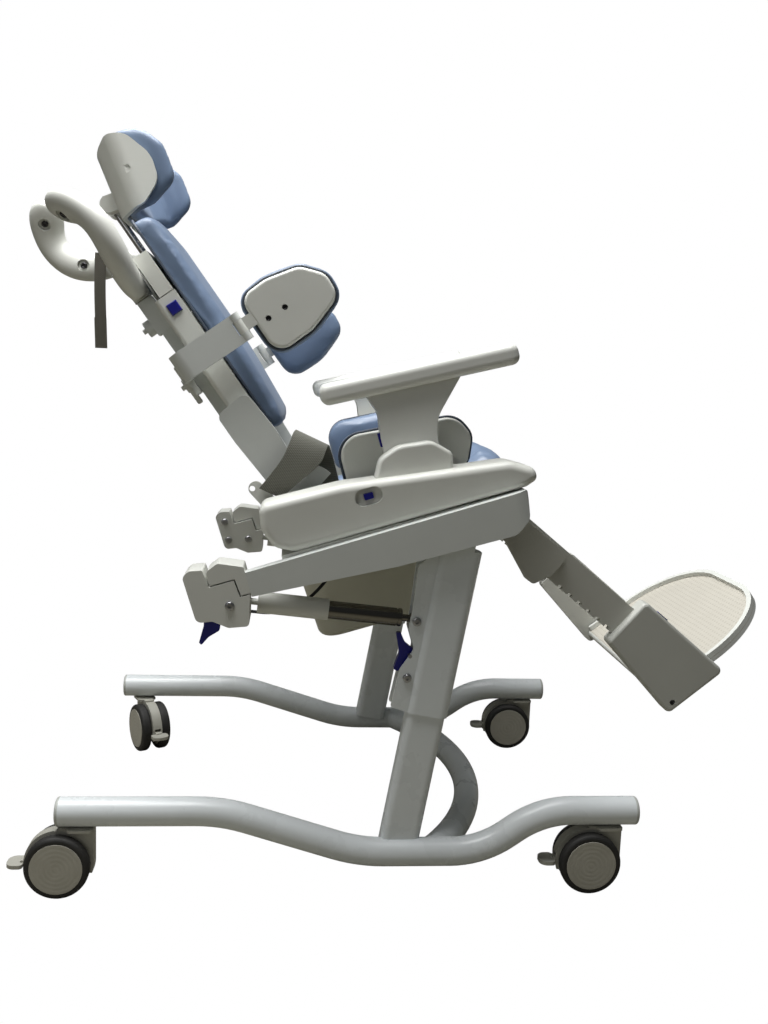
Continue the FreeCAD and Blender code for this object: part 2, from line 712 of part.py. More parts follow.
def fin_outline():
    edge = -SLEEVE_X / 2.0
    tail = GAS_BOLT_X - FIN_BOLT_D
    return [(edge + 3, SLEEVE_BOTTOM, 0), (tail - 3, SLEEVE_BOTTOM + 4, 3), (tail - 1, LEVER_Z - 24, 6),
            (GAS_BOLT_X + 5, LEVER_Z + 12, 14), (tail, GAS_BOLT_Z - 14, 8),
            (tail, GAS_BOLT_Z + 14, 8), (tail - 5, SLEEVE_TOP - 36, 8), (edge - 6, SLEEVE_TOP - 14, 3),
            (edge + 3, SLEEVE_TOP - 14, 0)]


def post_sleeve():
    """The outer column: a sleeve with two rear fins and a tongue that holds the tilt pin."""
    outer = plan_plate(rounded_rect(SLEEVE_X, SLEEVE_Y, POST_CORNER_R + SLEEVE_WALL), SLEEVE_BOTTOM,
                       SLEEVE_TOP)
    bore = plan_plate(rounded_rect(SLEEVE_X - 2 * SLEEVE_WALL, SLEEVE_Y - 2 * SLEEVE_WALL, POST_CORNER_R),
                      SLEEVE_BOTTOM, SLEEVE_TOP - SLEEVE_CAP)
    sleeve = outer.cut(bore).translated(V(0, POST_HALF_SPACING, 0))
    for y in (FIN_OUTER, POST_HALF_SPACING - FIN_GAP / 2.0 - FIN_THICK):
        fin = side_plate(fin_outline(), y, y + FIN_THICK).cut(bore.translated(V(0, POST_HALF_SPACING, 0)))
        sleeve = sleeve.fuse(fin)
    y1 = SLEEVE_OUTER
    y0 = y1 - TONGUE_THICK
    tongue = box(PIVOT_IN_POST.x - TONGUE_R, PIVOT_IN_POST.x + TONGUE_R, y0, y1, SLEEVE_TOP - SLEEVE_CAP,
                 PIVOT_IN_POST.z)
    tongue = tongue.fuse(rod_y(PIVOT_IN_POST.x, PIVOT_IN_POST.z, y0, y1, 2 * TONGUE_R))
    hole = rod_y(PIVOT_IN_POST.x, PIVOT_IN_POST.z, y0, y1, PIVOT_PIN_D)
    for x, z, d in ((GAS_BOLT_X, GAS_BOLT_Z, FIN_BOLT_D), (LEVER_X, LEVER_Z, LEVER_PIN_D)):
        hole = hole.fuse(rod_y(x, z, POST_HALF_SPACING - FIN_GAP, POST_HALF_SPACING + FIN_GAP, d))
    return sleeve.fuse(tongue).cut(hole).removeSplitter()


def post_pins():
    """Tilt pin, gas-spring bolt, lever pin and the lower clamp bolt of one column."""
    fin_in = POST_HALF_SPACING - FIN_GAP / 2.0 - FIN_THICK
    fin_out = FIN_OUTER + FIN_THICK
    pin = rod_y(PIVOT_IN_POST.x, PIVOT_IN_POST.z, SLEEVE_OUTER - TONGUE_THICK,
                FRAME_OUTER - FRAME_SKIN - SLIDE_GAP,
                PIVOT_PIN_D)
    bolt = rod_y(GAS_BOLT_X, GAS_BOLT_Z, fin_in, fin_out, FIN_BOLT_D)
    bolt = bolt.fuse(button_head(GAS_BOLT_X, fin_out, GAS_BOLT_Z, 1)).removeSplitter()
    lever_pin = rod_y(LEVER_X, LEVER_Z, fin_in, fin_out, LEVER_PIN_D)
    low = button_head(GAS_BOLT_X + 3, fin_out, LEVER_Z - 34, 1)
    return [pin, bolt, lever_pin, low]


def height_lever():
    """The blue squeeze lever between the fins of one column."""
    y0 = POST_HALF_SPACING - LEVER_THICK / 2.0
    blade = side_plate([(LEVER_X + du, LEVER_Z + dv, r) for du, dv, r in LEVER_SIDE], y0, y0 + LEVER_THICK)
    return blade.cut(rod_y(LEVER_X, LEVER_Z, y0, y0 + LEVER_THICK, LEVER_PIN_D + 2 * RUN_GAP))


# Gas springs, in their own axes: fin bolt at the origin, housing bolt along -X

GAS_FIN = POST.multVec(V(GAS_BOLT_X, 0, GAS_BOLT_Z))
GAS_SEAT = SEAT.multVec(V(GAS_SEAT_S, 0, GAS_SEAT_N))
GAS_RUN = GAS_SEAT.sub(GAS_FIN)
GAS_LENGTH = GAS_RUN.Length
GAS = Placement(GAS_FIN, Rotation(V(-1, 0, 0), GAS_RUN))


def gas_cylinder():
    y = POST_HALF_SPACING
    tube = rod(V(-CYLINDER_START, y, 0), V(-CYLINDER_START - CYLINDER_LENGTH, y, 0), CYLINDER_D)
    ends = [e for e in tube.Edges if len(e.Vertexes) == 1]
    tube = tube.makeFillet(2.0, ends)
    groove_x = -CYLINDER_START - GROOVE_FROM_END
    groove_end = V(groove_x - GROOVE_WIDTH, y, 0)
    groove = rod(V(groove_x, y, 0), groove_end, CYLINDER_D + 2)
    groove = groove.cut(rod(V(groove_x, y, 0), groove_end, CYLINDER_D - 2 * GROOVE_DEPTH))
    neck = rod(V(0, y, 0), V(-CYLINDER_START - 2, y, 0), NECK_D)
    eye = rod_y(0, 0, y - EYE_WIDTH / 2.0, y + EYE_WIDTH / 2.0, 2 * EYE_R)
    bore = rod_y(0, 0, y - EYE_WIDTH, y + EYE_WIDTH, FIN_BOLT_D + 2 * RUN_GAP)
    well = rod(V(-SHROUD_START + ROD_WELL_EXTRA, y, 0), V(-CYLINDER_START - CYLINDER_LENGTH - 1, y, 0),
               ROD_D + 2 * RUN_GAP)
    return tube.cut(groove).fuse(neck).fuse(eye).cut(bore).cut(well).removeSplitter()


def gas_shroud():
    """The plastic cover and the piston rod that it hides."""
    y = POST_HALF_SPACING
    cover = rod(V(-SHROUD_START, y, 0), V(-SHROUD_END, y, 0), SHROUD_D)
    bore = rod(V(-SHROUD_START, y, 0), V(-SHROUD_END + SHROUD_WALL * 2, y, 0), SHROUD_D - 2 * SHROUD_WALL)
    core = rod(V(-SHROUD_START, y, 0), V(-GAS_LENGTH, y, 0), ROD_D)
    eye = rod_y(-GAS_LENGTH, 0, y - EYE_WIDTH / 2.0, y + EYE_WIDTH / 2.0, 2 * EYE_R)
    return [cover.cut(bore).cut(core), core.fuse(eye).removeSplitter()]


# Seat frame, in the seat's own axes

def frame_side():
    return [(FRAME_REAR, FRAME_BOTTOM_REAR, 0), (FRAME_REAR, FRAME_TOP_REAR, 0), (FRAME_FRONT, FRAME_TOP, 5),
            (FRAME_FRONT - 9, FRAME_BOTTOM + 18, 16), (FRAME_FRONT - 36, FRAME_BOTTOM, 16),
            (-106.0, FRAME_BOTTOM + 2.5, 60)]


def tilt_frame():
    """One bent member: two side rails joined round the front, with ears for the leg hinge."""
    out, into = FRAME_OUTER, FRAME_INNER
    front = FRAME_FRONT
    back = FRAME_FRONT - FRAME_THICK
    r_in = FRAME_CORNER_R - FRAME_THICK
    u = plan_plate([(FRAME_REAR, -out, 0), (front, -out, FRAME_CORNER_R), (front, out, FRAME_CORNER_R),
                    (FRAME_REAR, out, 0), (FRAME_REAR, into, 0), (back, into, r_in), (back, -into, r_in),
                    (FRAME_REAR, -into, 0)], FRAME_BOTTOM - 5, FRAME_TOP + 5)
    u = u.common(side_plate(frame_side(), -out, out))
    relief = box(back - 1, front + 1, -into, into, FRAME_BOTTOM - 5, FRONT_BAR_BOTTOM)
    u = u.cut(relief)
    r = HANGER_HUB_R
    y0, y1 = EAR_INNER, EAR_INNER + EAR_THICK
    ear = box(LEG_HINGE_S - r, FRAME_FRONT - 2, y0, y1, LEG_HINGE_N, FRONT_BAR_BOTTOM)
    ear = ear.fuse(rod_y(LEG_HINGE_S, LEG_HINGE_N, y0, y1, 2 * r))
    ear = ear.cut(rod_y(LEG_HINGE_S, LEG_HINGE_N, y0, y1, LEG_PIN_D))
    for piece in pair(ear):
        u = u.fuse(piece)
    for side in (1, -1):
        y0, y1 = sorted((side * (into - 1), side * (out - FRAME_SKIN)))
        u = u.cut(rod_y(0, 0, y0, y1, PIVOT_PIN_D + 2 * RUN_GAP))
    return u.removeSplitter()


def trigger_pin():
    return rod_y(TRIGGER_S, TRIGGER_N, -TRIGGER_Y1 - TRIGGER_PIN_GRIP, -TRIGGER_Y0 + TRIGGER_PIN_GRIP,
                 TRIGGER_PIN_D)


def rear_handle():
    """Split rear housings that hold the springs and the trigger."""
    out = FRAME_OUTER
    into = out - HOUSING_WIDTH
    split = HOUSING_SPLIT
    step_n = FRAME_TOP_REAR - 7
    step_s = FRAME_REAR - 19
    lower = side_plate([(HOUSING_REAR, HOUSING_TOP - 6, 9), (HOUSING_REAR + 12, HOUSING_TOP, 9),
                        (HOUSING_REAR + 31, HOUSING_TOP - 4, 3), (HOUSING_REAR + 33, step_n, 1),
                        (step_s, step_n, 1), (step_s + 2, 0, 1), (FRAME_REAR - split, 0, 1),
                        (FRAME_REAR - 16, HOUSING_BOTTOM, 6), (TRIGGER_S + 17, HOUSING_BOTTOM + 6, 10),
                        (TRIGGER_S - 3, HOUSING_BOTTOM + 22, 10), (HOUSING_REAR + 1, HOUSING_BOTTOM + 26,
                                                                   10)],
                       into, out)
    pocket_mid = POST_HALF_SPACING
    w = GAS_POCKET_WIDTH / 2.0
    pocket = rod_y(GAS_SEAT_S, GAS_SEAT_N, pocket_mid - w, pocket_mid + w, 2 * GAS_POCKET_R)
    mouth = box(GAS_SEAT_S, FRAME_REAR + 20, pocket_mid - w, pocket_mid + w, GAS_SEAT_N - GAS_POCKET_R,
                GAS_SEAT_N + GAS_POCKET_R - 9)
    lower = lower.cut(pocket).cut(mouth)
    right_slot = box(HOUSING_REAR + 4, TRIGGER_S + 18, -TRIGGER_Y1 - SLIDE_GAP, -TRIGGER_Y0 + SLIDE_GAP,
                     HOUSING_BOTTOM - 10, TRIGGER_N + 14)
    right_slot = right_slot.fuse(trigger_pin())
    upper = side_plate([(HOUSING_REAR + 33 + split, HOUSING_TOP - 8, 8), (HOUSING_REAR + 55, HOUSING_TOP, 10),
                        (FRAME_REAR, FRAME_TOP_REAR + 9, 3), (FRAME_REAR, split, 0),
                        (step_s + 2 + split, split, 1), (step_s + split, step_n + split, 1),
                        (HOUSING_REAR + 33 + split, step_n + split, 1)], into + 7, out)
    return [lower, mirrored(lower).cut(right_slot), upper, mirrored(upper)]


def tilt_trigger():
    """The blue hooked trigger under the right housing."""
    s, n = TRIGGER_S, TRIGGER_N
    hook = side_plate([(s + ds, n + dn, r) for ds, dn, r in TRIGGER_SIDE], -TRIGGER_Y1, -TRIGGER_Y0)
    return hook.cut(rod_y(s, n, -TRIGGER_Y1, -TRIGGER_Y0, TRIGGER_PIN_D + 2 * RUN_GAP))


def frame_pins():
    """Housing bolts, trigger pin, recline pins and leg-hinge pins fixed in the seat frame."""
    pins = pair(button_head(GAS_SEAT_S, FRAME_OUTER, GAS_SEAT_N, 1))
    for s, n in HOUSING_SCREWS:
        pins += pair(button_head(s, FRAME_OUTER - HOUSING_WIDTH, n, -1))
    pins.append(trigger_pin())
    r = RECLINE_IN_SEAT
    lug_out = BRACKET_INNER + BRACKET_THICK + FRAME_GAP + LUG_THICK
    pins += pair(rod_y(r.x, r.z, BRACKET_INNER, lug_out, RECLINE_PIN_D))
    pins += pair(rod_y(LEG_HINGE_S, LEG_HINGE_N, PLANK_INNER, EAR_INNER + EAR_THICK, LEG_PIN_D))
    return pins


# Seat

def shell_top_at(s):
    """Height of the side shell's straight top line at s."""
    a, b = SEAT_SHELL_SIDE[-1], SEAT_SHELL_SIDE[-2]
    return a[1] + (b[1] - a[1]) * (s - a[0]) / (b[0] - a[0])


def seat_shell():
    """One side shell with its arm boss and the recess round its button."""
    shell = side_plate(SEAT_SHELL_SIDE, SHELL_INNER, SHELL_OUTER)
    shell = shell.makeFillet(SHELL_EDGE_R, edges_at_y(shell, SHELL_OUTER))
    boss_in = ARM_CENTRE + ARM_NECK_THICK / 2.0 + SLIDE_GAP
    boss_out = boss_in + ARM_BOSS_DEPTH
    boss = side_plate(ARM_BOSS_SIDE, boss_in, boss_out)
    boss = boss.makeFillet(SHELL_EDGE_R / 2.0, edges_at_y(boss, boss_out))
    recess = side_plate([(BUTTON_S + dx * RECESS_LENGTH / 2.0, BUTTON_N + dz * RECESS_HEIGHT / 2.0,
                          RECESS_HEIGHT * 0.48) for dx, dz in ((-1, -1), (1, -1), (1, 1), (-1, 1))],
                        SHELL_OUTER - RECESS_DEPTH, SHELL_OUTER)
    pocket = box(BUTTON_S - BUTTON_LENGTH / 2.0 - SEAT_GAP, BUTTON_S + BUTTON_LENGTH / 2.0 + SEAT_GAP,
                 SHELL_OUTER - RECESS_DEPTH - BUTTON_POCKET, SHELL_OUTER,
                 BUTTON_N - BUTTON_HEIGHT / 2.0 - SEAT_GAP, BUTTON_N + BUTTON_HEIGHT / 2.0 + SEAT_GAP)
    y0 = ARM_CENTRE + SLIDE_GAP
    slot = box(ARM_TONGUE_REAR - SLIDE_GAP, ARM_TONGUE_FRONT + SLIDE_GAP, y0,
               y0 + ARM_TONGUE_THICK + 2 * SLIDE_GAP,
               ARM_TONGUE_LOW - 1, ARM_SLOT_TOP)
    return shell.fuse(boss).cut(recess).cut(pocket).cut(slot).removeSplitter()


def seat_button():
    """The blue push button in a side shell's recess."""
    y1 = SHELL_OUTER - 1
    y0 = SHELL_OUTER - RECESS_DEPTH - BUTTON_POCKET + 5
    return side_plate([(BUTTON_S + dx * BUTTON_LENGTH / 2.0, BUTTON_N + dz * BUTTON_HEIGHT / 2.0, 1.5)
                       for dx, dz in ((-1, -1), (1, -1), (1, 1), (-1, 1))], y0, y1)


def aperture(grow, n0, n1):
    """The commode opening, as a rounded prism."""
    points = [(APERTURE_S + x, y, r + grow) for x, y, r in
              rounded_rect(APERTURE_LENGTH + 2 * grow, APERTURE_WIDTH + 2 * grow, APERTURE_R)]
    return plan_plate(points, n0, n1)


def seat_deck():
    """The seat board with its opening, recline lugs, strap tabs and pan runners."""
    front = FRAME_FRONT - FRAME_THICK
    corner = FRAME_CORNER_R - FRAME_THICK
    deck = plan_plate([(DECK_REAR, -FRAME_INNER, 0), (front, -FRAME_INNER, corner),
                       (front, FRAME_INNER, corner),
                       (DECK_REAR, FRAME_INNER, 0)], DECK_BOTTOM, FRAME_TOP)
    for shell in pair(side_plate(SEAT_SHELL_SIDE, SHELL_INNER, SHELL_OUTER)):
        deck = deck.cut(shell)
    deck = deck.cut(aperture(0, DECK_BOTTOM - 5, FRAME_TOP + 5))
    r = RECLINE_IN_SEAT
    y0 = BRACKET_INNER + BRACKET_THICK + FRAME_GAP
    lug = box(r.x - LUG_R, r.x + LUG_R, y0, y0 + LUG_THICK, FRAME_TOP - LUG_SINK, r.z)
    lug = lug.fuse(rod_y(r.x, r.z, y0, y0 + LUG_THICK, 2 * LUG_R))
    low = FRAME_TOP - LUG_SINK
    foot = [(DECK_REAR, low, 0), (DECK_REAR + TAB_FOOT, low, 0)]
    tab = side_plate(foot + [(DECK_REAR + s, n, round_r) for s, n, round_r in TAB_CORNERS], y0 + LUG_THICK,
                     y0 + LUG_THICK + TAB_THICK)
    tab = tab.cut(rod_y(TAB_HOLE[0], TAB_HOLE[1], y0, y0 + 2 * LUG_THICK, TAB_HOLE_D))
    for piece in pair(lug.fuse(tab)):
        deck = deck.fuse(piece)
    for side in (1, -1):
        ya, yb = sorted((side * y0, side * (y0 + LUG_THICK)))
        deck = deck.cut(rod_y(r.x, r.z, ya, yb, RECLINE_PIN_D))
    lip_top = PAN_TOP + SLIDE_GAP
    wall_y = PAN_HALF + PAN_LIP + 1
    hang = box(PAN_REAR, PAN_FRONT, wall_y, wall_y + RUNNER_THICK, lip_top - RUNNER_HEIGHT, DECK_BOTTOM + 1)
    shelf = box(PAN_REAR, PAN_FRONT, PAN_HALF + 4, wall_y + RUNNER_THICK, lip_top - RUNNER_HEIGHT,
                PAN_TOP - PAN_LIP_THICK - SEAT_GAP)
    for piece in pair(hang.fuse(shelf)):
        deck = deck.fuse(piece)
    return deck.removeSplitter()


def seat_pad():
    """The padded seat ring: crowned, with drawn-in sides and a raised front roll."""
    low = FRAME_TOP + SEAT_GAP

    def section(y, drop, draw):
        top = SEAT_PAD_TOP - drop
        front = SEAT_PAD_FRONT - draw
        return side_wire([(-258 + draw, low, 6), (front - 14, low, 6), (front, low + 18, 10),
                          (front - 12, top + 13, 16), (front - 46, top + 16, 22), (front - 92, top, 40),
                          (-258 + draw, top - 2, 14)], y)

    half = PAD_HALF
    sections = [section(-half, 8, 7), section(-half * 0.86, 1, 2), section(0, 0, 0),
                section(half * 0.86, 1, 2),
                section(half, 8, 7)]
    return softened(sections).cut(aperture(4, low - 5, SEAT_PAD_TOP + 60))


def hip_guide_shell():
    shell = side_plate(HIP_SIDE, HIP_SHELL_INNER, HIP_SHELL_OUTER)
    shell = shell.makeFillet(5, edges_at_y(shell, HIP_SHELL_OUTER))
    tongue = box(-70, -20, HIP_SHELL_OUTER, HIP_SHELL_OUTER + HIP_TONGUE, FRAME_TOP, 140)
    return shell.fuse(tongue).removeSplitter()


def hip_guide_pad():
    """A side cushion, swollen in the middle and drawn in at its face."""
    depth = HIP_SHELL_INNER - SEAT_GAP - HIP_PAD_INNER
    rows = ((0.0, 3), (0.3, 8), (0.75, 5), (1.0, -6))
    return softened([side_wire(grown(HIP_SIDE, g), HIP_SHELL_INNER - SEAT_GAP - depth * t) for t, g in rows])


def pan_section(rear, front, half, radius, n):
    """A level rounded outline of the pan at height n."""
    return plan_wire([(rear, -half, radius), (front, -half, radius), (front, half, radius),
                      (rear, half, radius)], n)


def pan_body(inset):
    """The tapered body of the pan, or its well when inset by the wall."""
    r_low = PAN_CORNER_R - inset
    bottom = PAN_BOTTOM + inset
    low = pan_section(PAN_REAR + PAN_TAPER_REAR + inset, PAN_FRONT - PAN_TAPER - inset,
                      PAN_HALF - PAN_TAPER - inset,
                      r_low, bottom)
    high = pan_section(PAN_REAR + inset, PAN_FRONT - inset, PAN_HALF - inset, r_low + PAN_WALL, PAN_TOP)
    body = Part.makeLoft([low, high], True, True)
    floor = [e for e in body.Edges if all(abs(v.Point.z - bottom) < 1e-6 for v in e.Vertexes)]
    return body.makeFillet(PAN_FLOOR_R - inset, floor)


def commode_pan():
    """The hollow pan, with a lip that hangs on the runners."""
    lip_half = PAN_HALF + PAN_LIP
    rear, front = PAN_REAR - PAN_LIP_END, PAN_FRONT + PAN_LIP_END
    r = PAN_CORNER_R / 2.0
    lip = plan_plate([(rear, -lip_half, r), (front, -lip_half, r), (front, lip_half, r), (rear, lip_half, r)],
                     PAN_TOP - PAN_LIP_THICK, PAN_TOP)
    return pan_body(0).fuse(lip).cut(pan_body(PAN_WALL)).removeSplitter()


# Arms

def arm_rest():
    """A long rounded pad on a flared neck, moulded in one."""
    t = ARM_PAD_THICK / 2.0
    r = ARM_PAD_R
    in_y, out_y = ARM_CENTRE - ARM_PAD_WIDTH / 2.0, ARM_CENTRE + ARM_PAD_WIDTH / 2.0
    pad = side_plate([(ARM_PAD_REAR, ARM_PAD_REAR_N - t, r), (ARM_PAD_REAR, ARM_PAD_REAR_N + t, r),
                      (ARM_PAD_FRONT, ARM_PAD_FRONT_N + t, r), (ARM_PAD_FRONT, ARM_PAD_FRONT_N - t, r)],
                     in_y, out_y)
    rims = edges_at_y(pad, in_y) + edges_at_y(pad, out_y)
    pad = pad.makeFillet(r - 1, rims)
    s0, s1 = ARM_NECK_REAR, ARM_NECK_FRONT
    foot0, foot1 = shell_top_at(s0) + SEAT_GAP, shell_top_at(s1) + SEAT_GAP
    neck = side_plate([(s0 - 8, ARM_PAD_REAR_N - 12, 0), (s0 + 6, 204, 40), (s0, 165, 30), (s0, foot0, 0),
                       (s1, foot1, 0), (s1 + 3, 168, 60), (s1 + 63, ARM_PAD_FRONT_N - 8, 0)],
                      ARM_CENTRE - ARM_NECK_THICK / 2.0, ARM_CENTRE + ARM_NECK_THICK / 2.0)
    w = ARM_BUTTON_WIDTH / 2.0 + SEAT_GAP
    h = ARM_BUTTON_HEIGHT / 2.0 + SEAT_GAP
    pocket = box(s0 - 10, s0 + ARM_BUTTON_DEPTH + 3, ARM_CENTRE - w, ARM_CENTRE + w, ARM_BUTTON_N - h,
                 ARM_BUTTON_N + h)
    y0 = ARM_CENTRE + 2 * SLIDE_GAP
    tongue = box(ARM_TONGUE_REAR, ARM_TONGUE_FRONT, y0, y0 + ARM_TONGUE_THICK, ARM_TONGUE_LOW,
                 shell_top_at(s0) + 20)
    return pad.fuse(neck).fuse(tongue).cut(pocket).removeSplitter()


def arm_button():
    s0 = ARM_NECK_REAR
    w = ARM_BUTTON_WIDTH / 2.0
    h = ARM_BUTTON_HEIGHT / 2.0
    block = box(s0 - 3, s0 + ARM_BUTTON_DEPTH - 3, ARM_CENTRE - w, ARM_CENTRE + w, ARM_BUTTON_N - h,
                ARM_BUTTON_N + h)
    return block.makeFillet(1.2, block.Edges)


# Back, in the back's own axes: x forward, z up the back

def back_frame():
    """Recline brackets, rear tracks and the sockets of the push handles."""
    y0, y1 = BRACKET_INNER, BRACKET_INNER + BRACKET_THICK
    arm = side_plate([(-HUB_R, 0, 0), (-34, SHELL_LOW_U - 10, 30), (-34, SHELL_LOW_U + 40, 12),
                      (SHELL_FRONT_F, SHELL_LOW_U + 46, 12), (SHELL_FRONT_F + 6, SHELL_LOW_U - 30, 60),
                      (HUB_R, 0, 0)], y0, y1)
    hub = rod_y(0, 0, y0, y1, 2 * HUB_R)
    disc = rod_y(0, 0, y0, y1 - 4, 2 * QUADRANT_R)
    wedge = side_plate([(0, 0, 0), (QUADRANT_R * 2, QUADRANT_R * 0.5, 0), (QUADRANT_R, QUADRANT_R * 2, 0),
                        (-QUADRANT_R * 0.3, QUADRANT_R * 2, 0)], y0, y1)
    bracket = arm.fuse(hub).fuse(disc.common(wedge)).cut(rod_y(0, 0, y0, y1, RECLINE_PIN_D + 2 * RUN_GAP))
    f0, f1 = SHELL_REAR_F - TRACK_DEPTH, SHELL_REAR_F
    track = box(f0, f1, TRACK_Y - TRACK_WIDTH / 2.0, TRACK_Y + TRACK_WIDTH / 2.0, TRACK_LOW_U, TRACK_HIGH_U)
    slot = box(f0, f0 + TRACK_DEPTH * 0.6, TRACK_Y - TRACK_SLOT / 2.0, TRACK_Y + TRACK_SLOT / 2.0,
               TRACK_LOW_U,
               TRACK_HIGH_U)
    tie = box(SHELL_REAR_F - 6, SHELL_REAR_F, TRACK_Y + TRACK_WIDTH / 2.0, y0 + 1, SHELL_LOW_U + 12,
              SHELL_LOW_U + 34)
    tube_r = HANDLE_TUBE_D / 2.0
    wall = tube_r + SOCKET_WALL
    socket = box(HANDLE_F - wall, HANDLE_F + wall, TRACK_Y - wall, TRACK_Y + wall, SOCKET_LOW_U,
                 SOCKET_HIGH_U)
    bore = Part.makeCylinder(tube_r + RUN_GAP, SOCKET_HIGH_U - SOCKET_LOW_U,
                             V(HANDLE_F, TRACK_Y, SOCKET_LOW_U))
    knob_u = SOCKET_LOW_U + SOCKET_KNOB_U
    face = HANDLE_F - wall
    knob = rod(V(face, TRACK_Y, knob_u), V(face - SOCKET_KNOB, TRACK_Y, knob_u), SOCKET_KNOB_D)
    stud = rod(V(face - SOCKET_KNOB, TRACK_Y, knob_u), V(face - SOCKET_KNOB * 1.5, TRACK_Y, knob_u),
               KNOB_STUD_D)
    left = bracket.fuse(tie).fuse(track.cut(slot)).removeSplitter()
    clamp = socket.cut(bore).fuse(knob).fuse(stud).removeSplitter()
    return pair(left) + pair(clamp)


def rear_corners(shape):
    """The two tall rear edges of a back box."""
    return [e for e in shape.Edges if abs(e.CenterOfMass.x - SHELL_REAR_F) < 1e-6
            and abs(abs(e.CenterOfMass.y) - BRACKET_INNER) < 1e-6]


def back_shell():
    """The lower back tray, open at the front and top for the sliding upper part."""
    half = BRACKET_INNER
    w = SHELL_WALL
    tray = box(SHELL_REAR_F, SHELL_FRONT_F, -half, half, SHELL_LOW_U, SHELL_HIGH_U)
    tray = tray.makeFillet(SHELL_CORNER_R, rear_corners(tray))
    well = box(SHELL_REAR_F + w, SHELL_FRONT_F, -half + w, half - w, SHELL_LOW_U + w, SHELL_HIGH_U)
    side = BACK_BUTTON_SIZE / 2.0 + SEAT_GAP
    tray = tray.cut(well)
    hole = box(BACK_BUTTON_F - side, BACK_BUTTON_F + side, -half - 1, -half + w + 1, BACK_BUTTON_U - side,
               BACK_BUTTON_U + side)
    cross = box(SHELL_REAR_F + w - 1, SHELL_FRONT_F, -half + 1, half - 1, SHELL_RIB_U,
                SHELL_RIB_U + SHELL_RIB)
    return tray.fuse(cross).cut(hole).removeSplitter()


def back_button():
    """The blue button on the right side of the back that frees the upper part."""
    side = BACK_BUTTON_SIZE / 2.0
    y1 = -BRACKET_INNER + SHELL_WALL + 6
    knob = box(BACK_BUTTON_F - side, BACK_BUTTON_F + side, -BRACKET_INNER - 4, y1, BACK_BUTTON_U - side,
               BACK_BUTTON_U + side)
    return knob.makeFillet(2.0, [e for e in knob.Edges if abs(e.CenterOfMass.y + BRACKET_INNER + 4) < 1e-6])


def upper_back():
    """The upper back, which telescopes on two tongues and takes the head support's stem."""
    half = BRACKET_INNER
    low = SHELL_HIGH_U + UPPER_GAP
    top = box(SHELL_REAR_F, SHELL_FRONT_F - 2, -half, half, low, UPPER_HIGH_U)
    top = top.makeFillet(SHELL_CORNER_R, rear_corners(top))
    w = SHELL_WALL
    top = top.cut(box(SHELL_REAR_F + w, SHELL_FRONT_F, -half + w, half - w, low - 1, UPPER_HIGH_U - w))
    f0, f1 = SHELL_REAR_F + w + SLIDE_GAP, SHELL_REAR_F + w + 12
    for y in (UPPER_TONGUE_Y, -UPPER_TONGUE_Y):
        tongue = box(f0, f1, y - UPPER_TONGUE_WIDTH / 2.0, y + UPPER_TONGUE_WIDTH / 2.0,
                     low - UPPER_TONGUE_LENGTH,
                     UPPER_HIGH_U - 1)
        top = top.fuse(tongue)
    block = box(SHELL_REAR_F + 1, HEAD_PIVOT_F + 16, -16, 16, low + 8, UPPER_HIGH_U)
    bore = Part.makeCylinder(HEAD_STEM_D / 2.0 + RUN_GAP, UPPER_HIGH_U - low + 10, V(HEAD_PIVOT_F, 0, low))
    top = top.fuse(block).cut(bore)
    clear = HANDLE_D / 2.0 + 3
    for y in (TRACK_Y, -TRACK_Y):
        side = 1 if y > 0 else -1
        y0, y1 = sorted((y - side * clear, side * (half + 1)))
        top = top.cut(box(SHELL_REAR_F - 1, HANDLE_F + clear, y0, y1, low - 1, UPPER_HIGH_U + 1))
    return top.removeSplitter()


def back_pad():
    """The tall back cushion: crowned across, drawn in at the sides, rolled at the top."""
    rear = SHELL_FRONT_F + SEAT_GAP

    def section(y, draw, crown):
        face = rear + BACK_PAD_THICK + crown
        low = BACK_PAD_LOW_U + draw
        high = BACK_PAD_HIGH_U - draw
        return side_wire([(rear, low + 12, 4), (face - 16, low, 7), (face - 3, low + 130, BACK_PAD_CROWN_R),
                          (face, low + 210, 2 * BACK_PAD_CROWN_R),
                          (face - 1, high - 40, 80), (face - 5, high, 15), (rear, high - 3, 6)], y)

    half = BACK_PAD_HALF
    return softened([section(-half, 5, -12), section(-half * 0.88, 1, -2), section(0, 0, 0),
                     section(half * 0.88, 1, -2),
                     section(half, 5, -12)])


# Side supports

